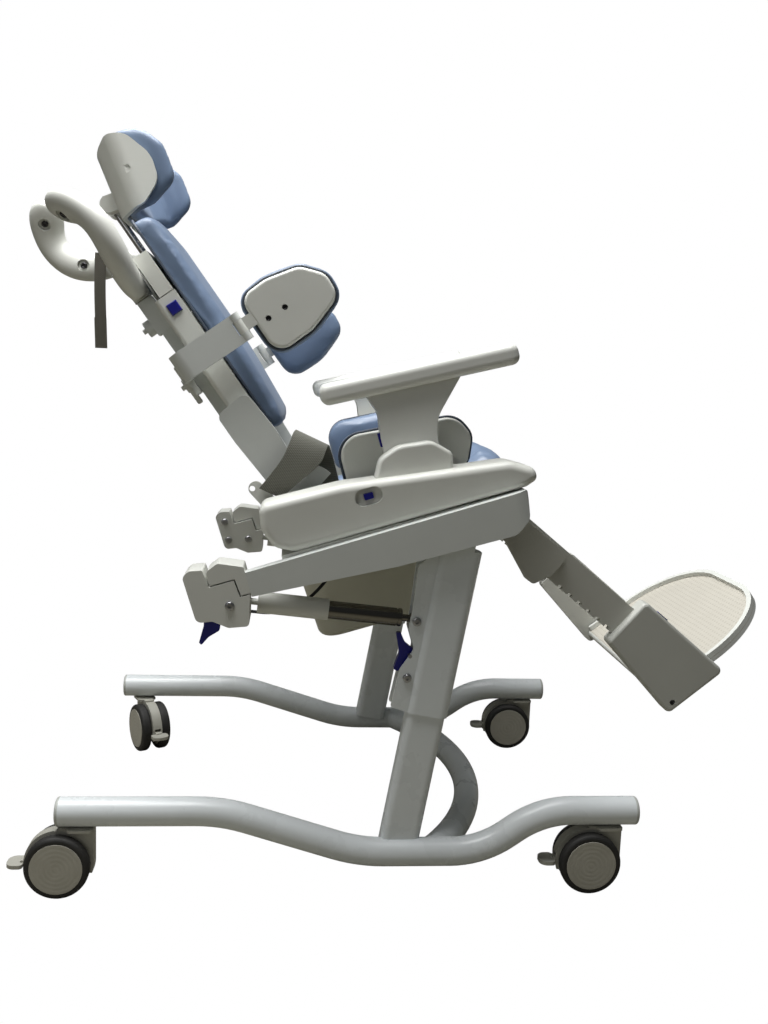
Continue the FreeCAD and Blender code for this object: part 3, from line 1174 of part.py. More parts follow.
def lateral_arm():
    """The angled plate that carries one side support from the rear track."""
    f_rear = SHELL_REAR_F - TRACK_DEPTH - SEAT_GAP
    y0, y1 = LATERAL_PLATE_INNER, LATERAL_PLATE_INNER + LATERAL_PLATE
    pivot_y = (y0 + y1) / 2.0
    f_back = f_rear - LATERAL_REAR_LEG
    f_front = LATERAL_PIVOT_F - LATERAL_KNUCKLE_R - 1
    track_in = TRACK_Y - TRACK_WIDTH / 2.0
    bend = [(f_front, y0, 0), (f_front, y1, 0), (f_back, y1, LATERAL_BEND_R), (f_back, track_in, 3),
            (f_rear, track_in, 3), (f_rear, y0, LATERAL_BEND_R - LATERAL_PLATE)]
    plate = plan_plate(bend, LATERAL_LOW_U, LATERAL_HIGH_U)
    foot = box(f_back, f_rear, track_in, TRACK_Y + TRACK_WIDTH, KNOB_U - LATERAL_FOOT, LATERAL_LOW_U)
    body = plate.fuse(foot)
    low_knuckle = (LATERAL_LOW_U, LATERAL_LOW_U + LATERAL_KNUCKLE)
    high_knuckle = (LATERAL_HIGH_U - LATERAL_KNUCKLE, LATERAL_HIGH_U)
    for u0, u1 in (low_knuckle, high_knuckle):
        web = box(LATERAL_PIVOT_F - LATERAL_KNUCKLE_R - 2, LATERAL_PIVOT_F, y0, y1, u0, u1)
        knuckle = Part.makeCylinder(LATERAL_KNUCKLE_R, u1 - u0, V(LATERAL_PIVOT_F, pivot_y, u0))
        body = body.fuse(web).fuse(knuckle)
    pin = Part.makeCylinder(LATERAL_PIN_D / 2.0, LATERAL_HIGH_U - LATERAL_LOW_U,
                            V(LATERAL_PIVOT_F, pivot_y, LATERAL_LOW_U))
    stud_hole = rod(V(f_rear, TRACK_Y, KNOB_U), V(f_back, TRACK_Y, KNOB_U), KNOB_STUD_D + 2 * RUN_GAP)
    return body.fuse(pin).cut(stud_hole).removeSplitter()


def lateral_shell():
    """The egg-shaped outer shell with its hinge knuckle."""
    pivot_y = LATERAL_PLATE_INNER + LATERAL_PLATE / 2.0
    y1 = LATERAL_PLATE_INNER + LATERAL_PLATE
    y0 = y1 - LATERAL_SHELL
    shell = side_plate(LATERAL_SIDE, y0, y1)
    shell = shell.makeFillet(5, edges_at_y(shell, y1))
    u0 = LATERAL_LOW_U + LATERAL_KNUCKLE + SEAT_GAP
    u1 = LATERAL_HIGH_U - LATERAL_KNUCKLE - SEAT_GAP
    knuckle = Part.makeCylinder(LATERAL_KNUCKLE_R, u1 - u0, V(LATERAL_PIVOT_F, pivot_y, u0))
    web = box(LATERAL_PIVOT_F, 110, y0 + 2, y1 - 1, u0, u1)
    bore = Part.makeCylinder(LATERAL_PIN_D / 2.0 + RUN_GAP, u1 - u0, V(LATERAL_PIVOT_F, pivot_y, u0))
    for f in LATERAL_SCREW_F:
        bore = bore.fuse(rod_y(f, LATERAL_SCREW_U, y1 - LATERAL_SCREW_DEPTH, y1, LATERAL_SCREW_D))
    return shell.fuse(knuckle).fuse(web).cut(bore).removeSplitter()


def lateral_pad():
    y0 = LATERAL_PLATE_INNER + LATERAL_PLATE - LATERAL_SHELL - SEAT_GAP
    depth = y0 - LATERAL_PAD_INNER
    rows = ((0.0, 7), (0.3, 11), (0.75, 8), (1.0, -4))
    return softened([side_wire(grown(LATERAL_SIDE, g), y0 - depth * t) for t, g in rows])


def lateral_knob():
    """The winged clamp knob and its stud behind one side support."""
    f = SHELL_REAR_F - TRACK_DEPTH - SEAT_GAP - LATERAL_REAR_LEG - SEAT_GAP
    half = KNOB_LENGTH / 2.0
    wing = side_plate([(f - KNOB_THICK, KNOB_U - half, 3), (f, KNOB_U - half, 3), (f, KNOB_U + half, 3),
                       (f - KNOB_THICK, KNOB_U + half,
                        3)], TRACK_Y - KNOB_WIDTH / 2.0, TRACK_Y + KNOB_WIDTH / 2.0)
    hub = rod(V(f, TRACK_Y, KNOB_U), V(f - KNOB_THICK - 2, TRACK_Y, KNOB_U), 24)
    tip = f - KNOB_STUD
    inside = SHELL_REAR_F - TRACK_DEPTH + TRACK_SLOT * 0.5
    stud = rod(V(inside, TRACK_Y, KNOB_U), V(tip, TRACK_Y, KNOB_U), KNOB_STUD_D)
    return wing.fuse(hub).fuse(stud).removeSplitter()


# Head support

def head_stem():
    """The stem that slides in the upper back and holds the head support's pivot."""
    stem = Part.makeCylinder(HEAD_STEM_D / 2.0, HEAD_PIVOT_U - HEAD_STEM_LOW_U,
                             V(HEAD_PIVOT_F, 0, HEAD_STEM_LOW_U))
    cross = rod_y(HEAD_PIVOT_F, HEAD_PIVOT_U, -HEAD_PIN_Y, HEAD_PIN_Y, HEAD_STEM_D)
    return stem.fuse(cross).removeSplitter()


def head_plan(out, rear, front):
    """Half of a wrap-round outline, as corners (x, y, radius) from the right tip to the left."""
    c, d = HEAD_CORNER
    return [(front, -out, 3), (rear + c, -out, c), (rear, -out + d, d - 2), (rear, out - d, d - 2),
            (rear + c, out, c),
            (front, out, 3)]


def wrapped(out, rear, front, thick, low, high):
    """A bent wall: the outer wrap less the same wrap moved in by its thickness."""
    outer = plan_plate(head_plan(out, rear, front), low, high)
    inner = plan_plate(head_plan(out - thick, rear + thick, front + 5), low - 1, high + 1)
    return outer.cut(inner)


def headrest_shell():
    """The bent outer shell with the two cheeks that turn on the stem's cross pin."""
    wall = wrapped(HEAD_HALF, HEAD_REAR, HEAD_REACH, HEAD_SHELL, -HEAD_REACH, HEAD_REACH)
    wall = wall.common(side_plate(HEAD_SHELL_SIDE, -HEAD_HALF - 1, HEAD_HALF + 1))
    cheek = box(-HEAD_CHEEK_R + 9, HEAD_REAR + 2, -HEAD_CHEEK_Y, HEAD_CHEEK_Y, -HEAD_CHEEK_R, HEAD_CHEEK_R)
    cheek = cheek.fuse(rod_y(0, 0, -HEAD_CHEEK_Y, HEAD_CHEEK_Y, 2 * HEAD_CHEEK_R))
    notch = box(-HEAD_CHEEK_R - 1, HEAD_REAR - 0.5, -HEAD_NOTCH_Y, HEAD_NOTCH_Y, -HEAD_REACH,
                2 * HEAD_CHEEK_R)
    slot_front = HEAD_REAR + HEAD_SHELL + 2
    slot = box(-HEAD_CHEEK_R - 1, slot_front, -HEAD_STEM_D, HEAD_STEM_D, -HEAD_REACH, -HEAD_STEM_D)
    bore = rod_y(0, 0, -HEAD_PIN_Y - SLIDE_GAP, HEAD_PIN_Y + SLIDE_GAP, HEAD_STEM_D + 2 * RUN_GAP)
    dimple = side_plate([(HEAD_DIMPLE[0] + dx * HEAD_DIMPLE_D, HEAD_DIMPLE[1] + dz * HEAD_DIMPLE_D * 0.6,
                          HEAD_DIMPLE_D * 0.55) for dx, dz in ((-1, -1), (1, -1), (1, 1), (-1, 1))],
                        HEAD_HALF - HEAD_DIMPLE_DEPTH, HEAD_HALF + 1)
    wall = wall.cut(dimple).cut(mirrored(dimple))
    return wall.fuse(cheek).cut(notch).cut(slot).cut(bore).removeSplitter()


def headrest_pad():
    """The wrap-round head cushion inside the shell."""
    out = HEAD_HALF - HEAD_SHELL - SEAT_GAP
    rear = HEAD_REAR + HEAD_SHELL + SEAT_GAP
    wall = wrapped(out, rear, HEAD_REACH + HEAD_PAD, HEAD_PAD, -HEAD_REACH, HEAD_REACH)
    return wall.common(side_plate(HEAD_PAD_SIDE, -HEAD_HALF, HEAD_HALF))


# Push handles, in their own axes: stem up +Z, set back along -X

def handle_frames(drawn):
    """Centre, wide axis and thin axis of each handle station, for a handle drawn up by a length."""
    centres = [V(-back, aside, drawn + up) for back, aside, up, wide, thin in HANDLE_STATIONS]
    frames = []
    for i, centre in enumerate(centres):
        ahead = centres[min(i + 1, len(centres) - 1)].sub(centres[max(i - 1, 0)])
        if i == 0:
            ahead = V(0, 0, 1)
        ahead.normalize()
        thin = V(0, 1, 0).sub(V(ahead).multiply(ahead.y))
        thin.normalize()
        frames.append((centre, ahead.cross(thin), thin))
    return frames


def push_handle(drawn):
    """A moulded handle that bows back to a swollen end, on a tube that sits in the socket."""
    frames = handle_frames(drawn)
    rings = []
    for (centre, wide, thin), station in zip(frames, HANDLE_STATIONS):
        wide_end = centre.add(V(wide).multiply(station[3]))
        thin_end = centre.add(V(thin).multiply(station[4]))
        ring = Part.Ellipse(wide_end, thin_end, centre)
        rings.append(Part.Wire([ring.toShape()]))
    body = Part.makeLoft(rings, True, False)
    for i in HANDLE_SCREW_STATIONS:
        centre, wide, thin = frames[i]
        half_thin = HANDLE_STATIONS[i][4]
        floor = centre.sub(V(thin).multiply(half_thin - HANDLE_RECESS_DEPTH))
        mouth = centre.sub(V(thin).multiply(2 * half_thin))
        body = body.cut(rod(floor, mouth, HANDLE_RECESS_D))
    depth = SOCKET_HIGH_U - SOCKET_LOW_U
    stem = Part.makeCylinder(HANDLE_TUBE_D / 2.0, drawn + depth + HANDLE_STEM_SUNK, V(0, 0, -depth))
    return body.fuse(stem).removeSplitter()


def handle_placement(side, turn):
    spot = Placement(V(HANDLE_F, side * TRACK_Y, SOCKET_HIGH_U + SEAT_GAP), Rotation(V(0, 0, 1), side * turn))
    return BACK.multiply(spot)


# Leg rest

def leg_rest():
    """Two notched planks with their hanger plates, hung on the leg hinge."""
    y0, y1 = PLANK_INNER, PLANK_INNER + PLANK_THICK
    half = PLANK_WIDTH / 2.0
    plank = box(-half, half, y0, y1, PLANK_TOP - PLANK_LENGTH, PLANK_TOP)
    for i in range(NOTCH_COUNT):
        z = NOTCH_FIRST - i * NOTCH_PITCH
        plank = plank.cut(box(-half - 1, -half + NOTCH_SIZE * 0.6, y0 - 1, y1 + 1, z - NOTCH_SIZE, z))
    hanger = side_plate(HANGER_SIDE, y1, y1 + HANGER_THICK)
    hub = rod_y(0, 0, y0, y1 + HANGER_THICK, 2 * HANGER_HUB_R)
    neck = box(-HANGER_HUB_R, HANGER_HUB_R, y0, y1, PLANK_TOP - 1, 0)
    bore = rod_y(0, 0, y0, y1 + HANGER_THICK, LEG_PIN_D + 2 * RUN_GAP)
    return pair(plank.fuse(neck).fuse(hanger).fuse(hub).cut(bore).removeSplitter())


def foot_bracket():
    """The moulded foot bracket that slides on one plank and holds one end of the board."""
    y0, y1 = FOOT_INNER, FOOT_INNER + FOOT_WIDTH
    body = side_plate(FOOT_SIDE, y0, y1)
    body = body.makeFillet(6, edges_at_y(body, y1))
    half = PLANK_WIDTH / 2.0 + SLIDE_GAP
    pocket = box(-half, half, PLANK_INNER - SEAT_GAP, PLANK_INNER + PLANK_THICK + SEAT_GAP,
                 FOOT_TOP - FOOT_POCKET,
                 FOOT_TOP + 20)
    body = body.cut(pocket)
    w = FOOT_BUTTON_WIDTH / 2.0 + SEAT_GAP
    h = FOOT_BUTTON_LENGTH / 2.0 + SEAT_GAP
    mid = PLANK_INNER + PLANK_THICK + 3 + w
    hole = box(half + 4, 60, mid - w, mid + w, FOOT_BUTTON_Z - h, FOOT_BUTTON_Z + h)
    pin = rod_y(BOARD_HINGE_X, BOARD_HINGE_Z, y0 - 14, y0 + 1, BOARD_PIN_D)
    dimple = rod_y(BOARD_HINGE_X, BOARD_HINGE_Z, y1 - 3, y1, 9)
    return body.cut(hole).cut(dimple).fuse(pin).removeSplitter()


def foot_button():
    w = FOOT_BUTTON_WIDTH / 2.0
    h = FOOT_BUTTON_LENGTH / 2.0
    mid = PLANK_INNER + PLANK_THICK + 3 + w + SEAT_GAP
    x1 = 49.5
    block = box(x1 - FOOT_BUTTON_DEPTH, x1, mid - w, mid + w, FOOT_BUTTON_Z - h, FOOT_BUTTON_Z + h)
    upright = [e for e in block.Edges if abs(e.CenterOfMass.x - x1 + FOOT_BUTTON_DEPTH / 2.0) < 1e-6]
    return block.makeFillet(w * 0.9, upright)


BOARD = Placement(V(BOARD_HINGE_X, 0, BOARD_HINGE_Z), Rotation(V(0, 1, 0), -BOARD_SLOPE_DEG))


def footboard():
    """The D-shaped foot tray with a raised rim, hinged at its heel."""
    half = FOOT_INNER - BOARD_GAP

    def d_shape(inset):
        h = half - inset
        r = BOARD_FRONT_R - inset
        return [(inset, -h, 4), (BOARD_DEPTH - inset, -h, r), (BOARD_DEPTH - inset, h, r), (inset, h, 4)]

    bottom = BOARD_BARREL_R - BOARD_THICK
    tray = plan_plate(d_shape(0), bottom, BOARD_BARREL_R + BOARD_RIM_H)
    well = plan_plate(d_shape(BOARD_RIM), BOARD_BARREL_R, BOARD_BARREL_R + BOARD_RIM_H + 1)
    heel = box(-1, BOARD_RIM + 20, -half + BOARD_RIM, half - BOARD_RIM, BOARD_BARREL_R,
               BOARD_BARREL_R + BOARD_RIM_H + 1)
    tray = tray.cut(well).cut(heel)
    barrel = rod_y(0, 0, -half, half, 2 * BOARD_BARREL_R)
    board = tray.fuse(barrel)
    for side in (1, -1):
        y0, y1 = sorted((side * (half - 16), side * (half + 1)))
        board = board.cut(rod_y(0, 0, y0, y1, BOARD_PIN_D + 2 * RUN_GAP))
    return board.removeSplitter()


# Cable and straps

def release_cable():
    """The black cable from the right housing up to the seat board, all held by the frame."""
    y = CABLE_INBOARD - POST_HALF_SPACING
    points = [V(s, y, n) for s, n in CABLE_ROUTE]
    runs = [points[i + 1].sub(points[i]).Length for i in range(len(points) - 1)]
    stops = [(points[0], 0)]
    for i in range(1, len(points) - 1):
        turn = math.pi - points[i - 1].sub(points[i]).getAngle(points[i + 1].sub(points[i]))
        radius = 0.45 * min(runs[i - 1], runs[i]) / math.tan(turn / 2.0)
        stops.append((points[i], radius))
    stops.append((points[-1], 0))
    path = path_wire(stops)
    cable = bar_along(path, CABLE_D)
    section = math.pi * CABLE_D ** 2 / 4.0
    print("cable length %.1f, bend radii %s, volume ratio %.4f" % (
        path.Length, [round(r) for p, r in stops[1:-1]], cable.Volume / (section * path.Length)))
    return cable


def hip_strap():
    """The wide hip belt: up from its tab on the right, folded over and laid on the seat."""
    y = -(BRACKET_INNER + BRACKET_THICK + FRAME_GAP + LUG_THICK + TAB_THICK + SLIDE_GAP)
    (s0, n0), (s1, n1), (s2, n2), (s3, n3) = HIP_STRAP_SIDE
    up = side_plate([(s0, n0, 3), (s1, n1, 3), (s2, n2, 1), (s3, n3, 1)], y - STRAP_THICK, y)
    ds, dn = STRAP_THICK, STRAP_THICK * 0.6
    fold = side_plate([(s3, n3, 1), (s2, n2, 1), (s2 + ds, n2 + dn, 1), (s3 + ds, n3 + dn, 1)],
                      y - STRAP_THICK,
                      y + HIP_STRAP_FOLD)
    return up.fuse(fold).removeSplitter()


def hanging_strap():
    """The narrow harness strap that hangs from the left push handle."""
    x, y, z = HANG_STRAP_TOP
    return box(x - HANG_STRAP_WIDTH / 2.0, x + HANG_STRAP_WIDTH / 2.0, y, y + STRAP_THICK,
               z - HANG_STRAP_LENGTH, z)


# Assembly

def build():
    rail = rail_bar()
    rails = [rail.translated(V(0, RAIL_HALF_SPACING, 0)), rail.translated(V(0, -RAIL_HALF_SPACING, 0))]
    nodes = {
        "base_tubes": base_tubes(rails),
        "rail_end_caps": rail_end_caps(),
        "lower_posts": lower_posts(rails),
    }
    for name, x, y, turn in caster_places():
        spot = caster_placement(x, y, turn)
        nodes["caster_fork_" + name] = [placed(caster_fork(), spot)]
        nodes["caster_wheels_" + name] = [placed(s, spot) for s in caster_wheels()]
        nodes["caster_pedal_" + name] = [placed(caster_pedal(), spot)]
    nodes["post_sleeves"] = [placed(s, POST) for s in pair(post_sleeve())]
    nodes["post_pins"] = [placed(s, POST) for p in post_pins() for s in pair(p)]
    nodes["height_levers"] = [placed(s, POST) for s in pair(height_lever())]
    nodes["gas_cylinders"] = [placed(s, GAS) for s in pair(gas_cylinder())]
    nodes["gas_shrouds"] = [placed(s, GAS) for p in gas_shroud() for s in pair(p)]
    left_shell = seat_shell()
    seat = {
        "tilt_frame": [tilt_frame()],
        "rear_handle": rear_handle(),
        "frame_pins": frame_pins(),
        "tilt_trigger": [tilt_trigger()],
        "seat_shells": pair(left_shell),
        "seat_button_left": [seat_button()],
        "seat_button_right": [mirrored(seat_button())],
        "seat_deck": [seat_deck()],
        "seat_pads": [seat_pad()] + pair(hip_guide_pad()),
        "hip_guide_shells": pair(hip_guide_shell()),
        "commode_pan": [commode_pan()],
        "arm_rest_left": [arm_rest()],
        "arm_rest_right": [mirrored(arm_rest())],
        "arm_button_left": [arm_button()],
        "arm_button_right": [mirrored(arm_button())],
        "release_cable": [release_cable()],
        "hip_strap": [hip_strap()],
    }
    for name, solids in seat.items():
        nodes[name] = [placed(s, SEAT) for s in solids]
    lower = V(0, 0, -LATERAL_LEFT_DROP)
    back = {
        "back_frame": back_frame(),
        "back_shell": [back_shell()],
        "back_button": [back_button()],
        "back_pad": [back_pad()],
        "upper_back": [upper_back()],
        "lateral_arm_left": [lateral_arm().translated(lower)],
        "lateral_arm_right": [mirrored(lateral_arm())],
        "lateral_shell_left": [lateral_shell().translated(lower)],
        "lateral_shell_right": [mirrored(lateral_shell())],
        "lateral_pad_left": [lateral_pad().translated(lower)],
        "lateral_pad_right": [mirrored(lateral_pad())],
        "lateral_knob_left": [lateral_knob().translated(lower)],
        "lateral_knob_right": [mirrored(lateral_knob())],
        "head_stem": [head_stem()],
    }
    for name, solids in back.items():
        nodes[name] = [placed(s, BACK) for s in solids]
    nodes["headrest_shell"] = [placed(headrest_shell(), HEAD)]
    nodes["headrest_pad"] = [placed(headrest_pad(), HEAD)]
    nodes["push_handle_left"] = [placed(push_handle(HANDLE_DRAWN), handle_placement(1, HANDLE_LEFT_TURN))]
    nodes["push_handle_right"] = [placed(mirrored(push_handle(0.0)), handle_placement(-1, HANDLE_RIGHT_TURN))]
    nodes["hanging_strap"] = [hanging_strap()]
    board = LEG.multiply(BOARD)
    nodes["leg_rest"] = [placed(s, LEG) for s in leg_rest()]
    nodes["foot_brackets"] = [placed(s, LEG) for s in pair(foot_bracket())]
    nodes["foot_buttons"] = [placed(s, LEG) for s in pair(foot_button())]
    nodes["footboard"] = [placed(footboard(), board)]
    return nodes


def motions(shift):
    """Print each pivot and sliding direction, so that the record can state the same places."""
    upright = V(0, 0, 1)
    along_post = POST.Rotation.multVec(upright)
    seat_forward = SEAT.Rotation.multVec(V(1, 0, 0))
    seat_up = SEAT.Rotation.multVec(upright)
    back_forward = BACK.Rotation.multVec(V(1, 0, 0))
    back_up = BACK.Rotation.multVec(upright)
    leg_forward = LEG.Rotation.multVec(V(1, 0, 0))
    leg_up = LEG.Rotation.multVec(upright)
    still = V(0, 0, 0)
    lateral_y = LATERAL_PLATE_INNER + LATERAL_PLATE / 2.0
    drop = V(0, 0, -LATERAL_LEFT_DROP)
    rows = []
    for name, x, y, turn in caster_places():
        spot = caster_placement(x, y, turn)
        axle = spot.Rotation.multVec(V(0, 1, 0))
        rows.append(("swivel_" + name, V(x, y, 0), upright))
        rows.append(("roll_" + name, spot.multVec(still), axle))
        rows.append(("pedal_" + name, spot.multVec(V(PEDAL_PIN_X, 0, 0)), axle))
    rows += [
        ("height", still, along_post),
        ("height_lever", POST.multVec(V(LEVER_X, 0, LEVER_Z)), V(0, -1, 0)),
        ("tilt", V(PIVOT_X, 0, PIVOT_Z), V(0, -1, 0)),
        ("gas_turn", GAS_FIN, V(0, -1, 0)),
        ("gas_slide", GAS_SEAT, GAS_RUN * (1.0 / GAS_LENGTH)),
        ("trigger", SEAT.multVec(V(TRIGGER_S, 0, TRIGGER_N)), V(0, -1, 0)),
        ("seat_forward", still, seat_forward),
        ("seat_up", still, seat_up),
        ("recline", V(RECLINE_X, 0, RECLINE_Z), V(0, -1, 0)),
        ("back_forward", still, back_forward),
        ("back_up", still, back_up),
        ("lateral_right", BACK.multVec(V(LATERAL_PIVOT_F, -lateral_y, LATERAL_LOW_U)), back_up),
        ("lateral_left", BACK.multVec(V(LATERAL_PIVOT_F, lateral_y, LATERAL_LOW_U).add(drop)), back_up),
        ("knob_right", BACK.multVec(V(0, -TRACK_Y, KNOB_U)), back_forward),
        ("knob_left", BACK.multVec(V(0, TRACK_Y, KNOB_U).add(drop)), back_forward),
        ("head", BACK.multVec(V(HEAD_PIVOT_F, 0, HEAD_PIVOT_U)), V(0, -1, 0)),
        ("handle_right", handle_placement(-1, 0).Base, back_up),
        ("handle_left", handle_placement(1, 0).Base, back_up),
        ("leg", LEG_HINGE, V(0, -1, 0)),
        ("leg_forward", still, leg_forward),
        ("leg_up", still, leg_up),
        ("board", LEG.multVec(BOARD.Base), V(0, -1, 0)),
    ]
    for name, spot, axis in rows:
        spot = spot.add(shift)
        numbers = (spot.x, spot.y, spot.z, axis.x, axis.y, axis.z)
        print("place %s %.4f %.4f %.4f axis %.6f %.6f %.6f" % ((name,) + numbers))


def main():
    os.makedirs("parts", exist_ok=True)
    nodes = build()
    whole = FreeCAD.BoundBox()
    for solids in nodes.values():
        for solid in solids:
            whole.add(solid.optimalBoundingBox(False, False))
    shift = V(-whole.Center.x, -whole.Center.y, -whole.ZMin)
    print("box %.1f x %.1f x %.1f, shift %.3f %.3f %.3f" % (
        whole.XLength, whole.YLength, whole.ZLength, shift.x, shift.y, shift.z))
    for name, solids in nodes.items():
        for solid in solids:
            if not solid.isValid() or len(solid.Solids) != 1:
                print("check", name, solid.isValid(), len(solid.Solids))
        moved = [s.translated(shift) for s in solids]
        shape = moved[0] if len(moved) == 1 else Part.makeCompound(moved)
        shape.exportStep("parts/%s.step" % name)
    motions(shift)
    print(len(nodes), "nodes")


main()
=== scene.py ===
# %% [markdown]
# # A tilt-in-space commode chair
# The chair's tubes, shells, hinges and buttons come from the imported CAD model, which is loaded as a fixed
# frame. This script gives them their paint, plastic and steel, and makes the soft things that CAD only
# holds a place for: the cushions, the hip belt and the strap that hangs from a push handle.

# %% Load the frame
import math

import bmesh
import bpy
import numpy as np
from mathutils import Matrix, Vector


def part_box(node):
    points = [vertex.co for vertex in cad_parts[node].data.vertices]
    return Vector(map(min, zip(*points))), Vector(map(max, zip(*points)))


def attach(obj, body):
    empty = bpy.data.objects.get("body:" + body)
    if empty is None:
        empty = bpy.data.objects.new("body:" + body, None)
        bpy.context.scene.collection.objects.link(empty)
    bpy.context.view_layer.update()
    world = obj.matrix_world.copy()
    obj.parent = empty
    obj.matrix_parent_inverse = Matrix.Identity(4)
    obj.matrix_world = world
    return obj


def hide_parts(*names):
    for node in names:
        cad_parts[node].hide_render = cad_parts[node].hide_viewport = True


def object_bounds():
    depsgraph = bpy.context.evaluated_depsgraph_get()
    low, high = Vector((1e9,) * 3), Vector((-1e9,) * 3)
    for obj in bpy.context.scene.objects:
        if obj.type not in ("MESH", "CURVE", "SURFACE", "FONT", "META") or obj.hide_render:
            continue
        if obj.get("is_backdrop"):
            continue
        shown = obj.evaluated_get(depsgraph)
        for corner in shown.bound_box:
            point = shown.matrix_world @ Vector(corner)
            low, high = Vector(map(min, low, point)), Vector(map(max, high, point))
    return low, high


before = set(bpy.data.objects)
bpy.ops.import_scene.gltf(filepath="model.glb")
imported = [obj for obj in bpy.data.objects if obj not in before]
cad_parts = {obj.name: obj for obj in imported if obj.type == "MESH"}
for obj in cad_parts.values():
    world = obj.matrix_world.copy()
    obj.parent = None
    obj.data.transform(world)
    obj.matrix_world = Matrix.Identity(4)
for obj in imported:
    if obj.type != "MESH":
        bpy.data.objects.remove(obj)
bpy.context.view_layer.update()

# %% [markdown]
# ## Side axes
# Nearly every piece of this chair is drawn in the side view, in axes that lean with the seat, the back, the
# head support or the leg rest. A placing function takes millimetres in such axes, with y across the chair,
# and gives metres in the frame. It could also be done with parented empties, but points that are already in
# place keep every object at the origin, which the frame asks for. All places are counted from the middle of
# the base rails, so a change in the overall box moves nothing.

# %% Placing functions
rail_low, rail_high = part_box("base_tubes")
MIDDLE_X = (rail_low.x + rail_high.x) / 2


def leaning(origin_x, origin_z, degrees):
    """A function from leaning side axes in millimetres to the frame in metres."""
    c, s = math.cos(math.radians(degrees)), math.sin(math.radians(degrees))

    def place(a, y, b):
        x = origin_x + a * c - b * s
        z = origin_z + a * s + b * c
        return Vector((MIDDLE_X + x / 1000, y / 1000, z / 1000))

    return place


def leaning_from(parent, a, b, degrees):
    """Leaning axes whose origin is a point of other leaning axes."""
    spot = parent(a, 0, b)
    return leaning((spot.x - MIDDLE_X) * 1000, spot.z * 1000, degrees)


level = leaning(0, 0, 0)
seat = leaning(149, 575, 17)
back = leaning(-90, 600, 36)
head = leaning_from(back, 5, 580, 23)
leg = leaning_from(seat, 79, -10, 51.5)
board = leaning_from(leg, -49, -427, 37)
print("tilt pin", seat(0, 0, 0), "recline pin", back(0, 0, 0))

# %% [markdown]
# ## Camera
# The photograph was taken from the chair's right side, 0.8 m above the floor and a little to the rear of the
# middle. The camera's place and turn come from matching the straight rails, wheel centres and posts.

# %% Camera
CAMERA_SPOT = (-111.07, -1800.38, 805.26)
CAMERA_TURN = (5.394, 7.739, 2.194)
lens = bpy.data.cameras.new("photo_lens")
lens.lens = 35.156
lens.sensor_width = 36.0
camera = bpy.data.objects.new("photo_camera", lens)
bpy.context.scene.collection.objects.link(camera)
yaw, pitch, roll = (math.radians(v) for v in CAMERA_TURN)
ahead = Vector((math.sin(yaw), math.cos(yaw), 0))
right = Vector((math.cos(yaw), -math.sin(yaw), 0))
up = Vector((0, 0, 1))
sight = ahead * math.cos(pitch) - up * math.sin(pitch)
over = up * math.cos(pitch) + ahead * math.sin(pitch)
rolled_right = right * math.cos(roll) + over * math.sin(roll)
rolled_up = over * math.cos(roll) - right * math.sin(roll)
turn = Matrix((rolled_right, rolled_up, -sight)).transposed().to_4x4()
camera.matrix_world = Matrix.Translation(level(*CAMERA_SPOT)) @ turn
bpy.context.scene.camera = camera
bpy.context.scene.view_settings.view_transform = "Standard"
bpy.context.scene.view_settings.look = "None"

# %% [markdown]
# ## Node helpers
# Materials are built from shader nodes. One helper adds a node and fills its inputs, where a socket given as
# a value is linked and anything else is set. Short ones mix two colours, do sums and make noise. Another
# starts a material whose plain numbers stay on the shader's own sockets.

# %% Node helpers
def add(tree, kind, settings=None, **values):
    """Adds a node. Input names have underscores for spaces, and in0, in1 for numbered inputs."""
    made = tree.nodes.new(kind)
    for key, value in (settings or {}).items():
        setattr(made, key, value)
    for key, value in values.items():
        numbered = key.startswith("in") and key[2:].isdigit()
        socket = made.inputs[int(key[2:])] if numbered else made.inputs[key.replace("_", " ")]
        if isinstance(value, bpy.types.NodeSocket):
            tree.links.new(value, socket)
        else:
            socket.default_value = value
    return made


def mixed(tree, share, one, two):
    """The colour one, turning into two as the share goes from 0 to 1."""
    return add(tree, "ShaderNodeMix", {"data_type": "RGBA"}, in0=share, in6=one, in7=two).outputs[2]


def maths(tree, operation, *values):
    numbered = {"in" + str(i): value for i, value in enumerate(values)}
    return add(tree, "ShaderNodeMath", {"operation": operation}, **numbered).outputs[0]


def vector_maths(tree, operation, one, two, output="Vector"):
    return add(tree, "ShaderNodeVectorMath", {"operation": operation}, in0=one, in1=two).outputs[output]


def noise(tree, where, scale, detail, roughness=0.5):
    made = add(tree, "ShaderNodeTexNoise", None, Vector=where, Scale=scale, Detail=detail,
               Roughness=roughness)
    return made.outputs["Fac"]


def rescaled(tree, value, **limits):
    return add(tree, "ShaderNodeMapRange", None, Value=value, **limits).outputs[0]


def roughen(tree, shader, strength, distance, height):
    """Bumps the shader's surface by a height map."""
    bump = add(tree, "ShaderNodeBump", None, Strength=strength, Distance=distance, Height=height)
    tree.links.new(bump.outputs[0], shader.inputs["Normal"])


def start_material(name, roughness, **numbers):
    """A new material, with its node tree, its shader and its object coordinates."""
    material = bpy.data.materials.new(name)
    material.use_nodes = True
    tree = material.node_tree
    shader = tree.nodes["Principled BSDF"]
    shader.inputs["Roughness"].default_value = roughness
    for key, value in numbers.items():
        shader.inputs[key.replace("_", " ")].default_value = value
    where = add(tree, "ShaderNodeTexCoord").outputs["Object"]
    return material, tree, shader, where


def srgb(r, g, b):
    """A linear colour from the 0 to 255 values read off a picture."""
    def line(v):
        v = v / 255
        return v / 12.92 if v <= 0.04045 else ((v + 0.055) / 1.055) ** 2.4
    return (line(r), line(g), line(b), 1.0)


def shade(colour, amount):
    return tuple(min(1.0, c * amount) for c in colour[:3]) + (1.0,)


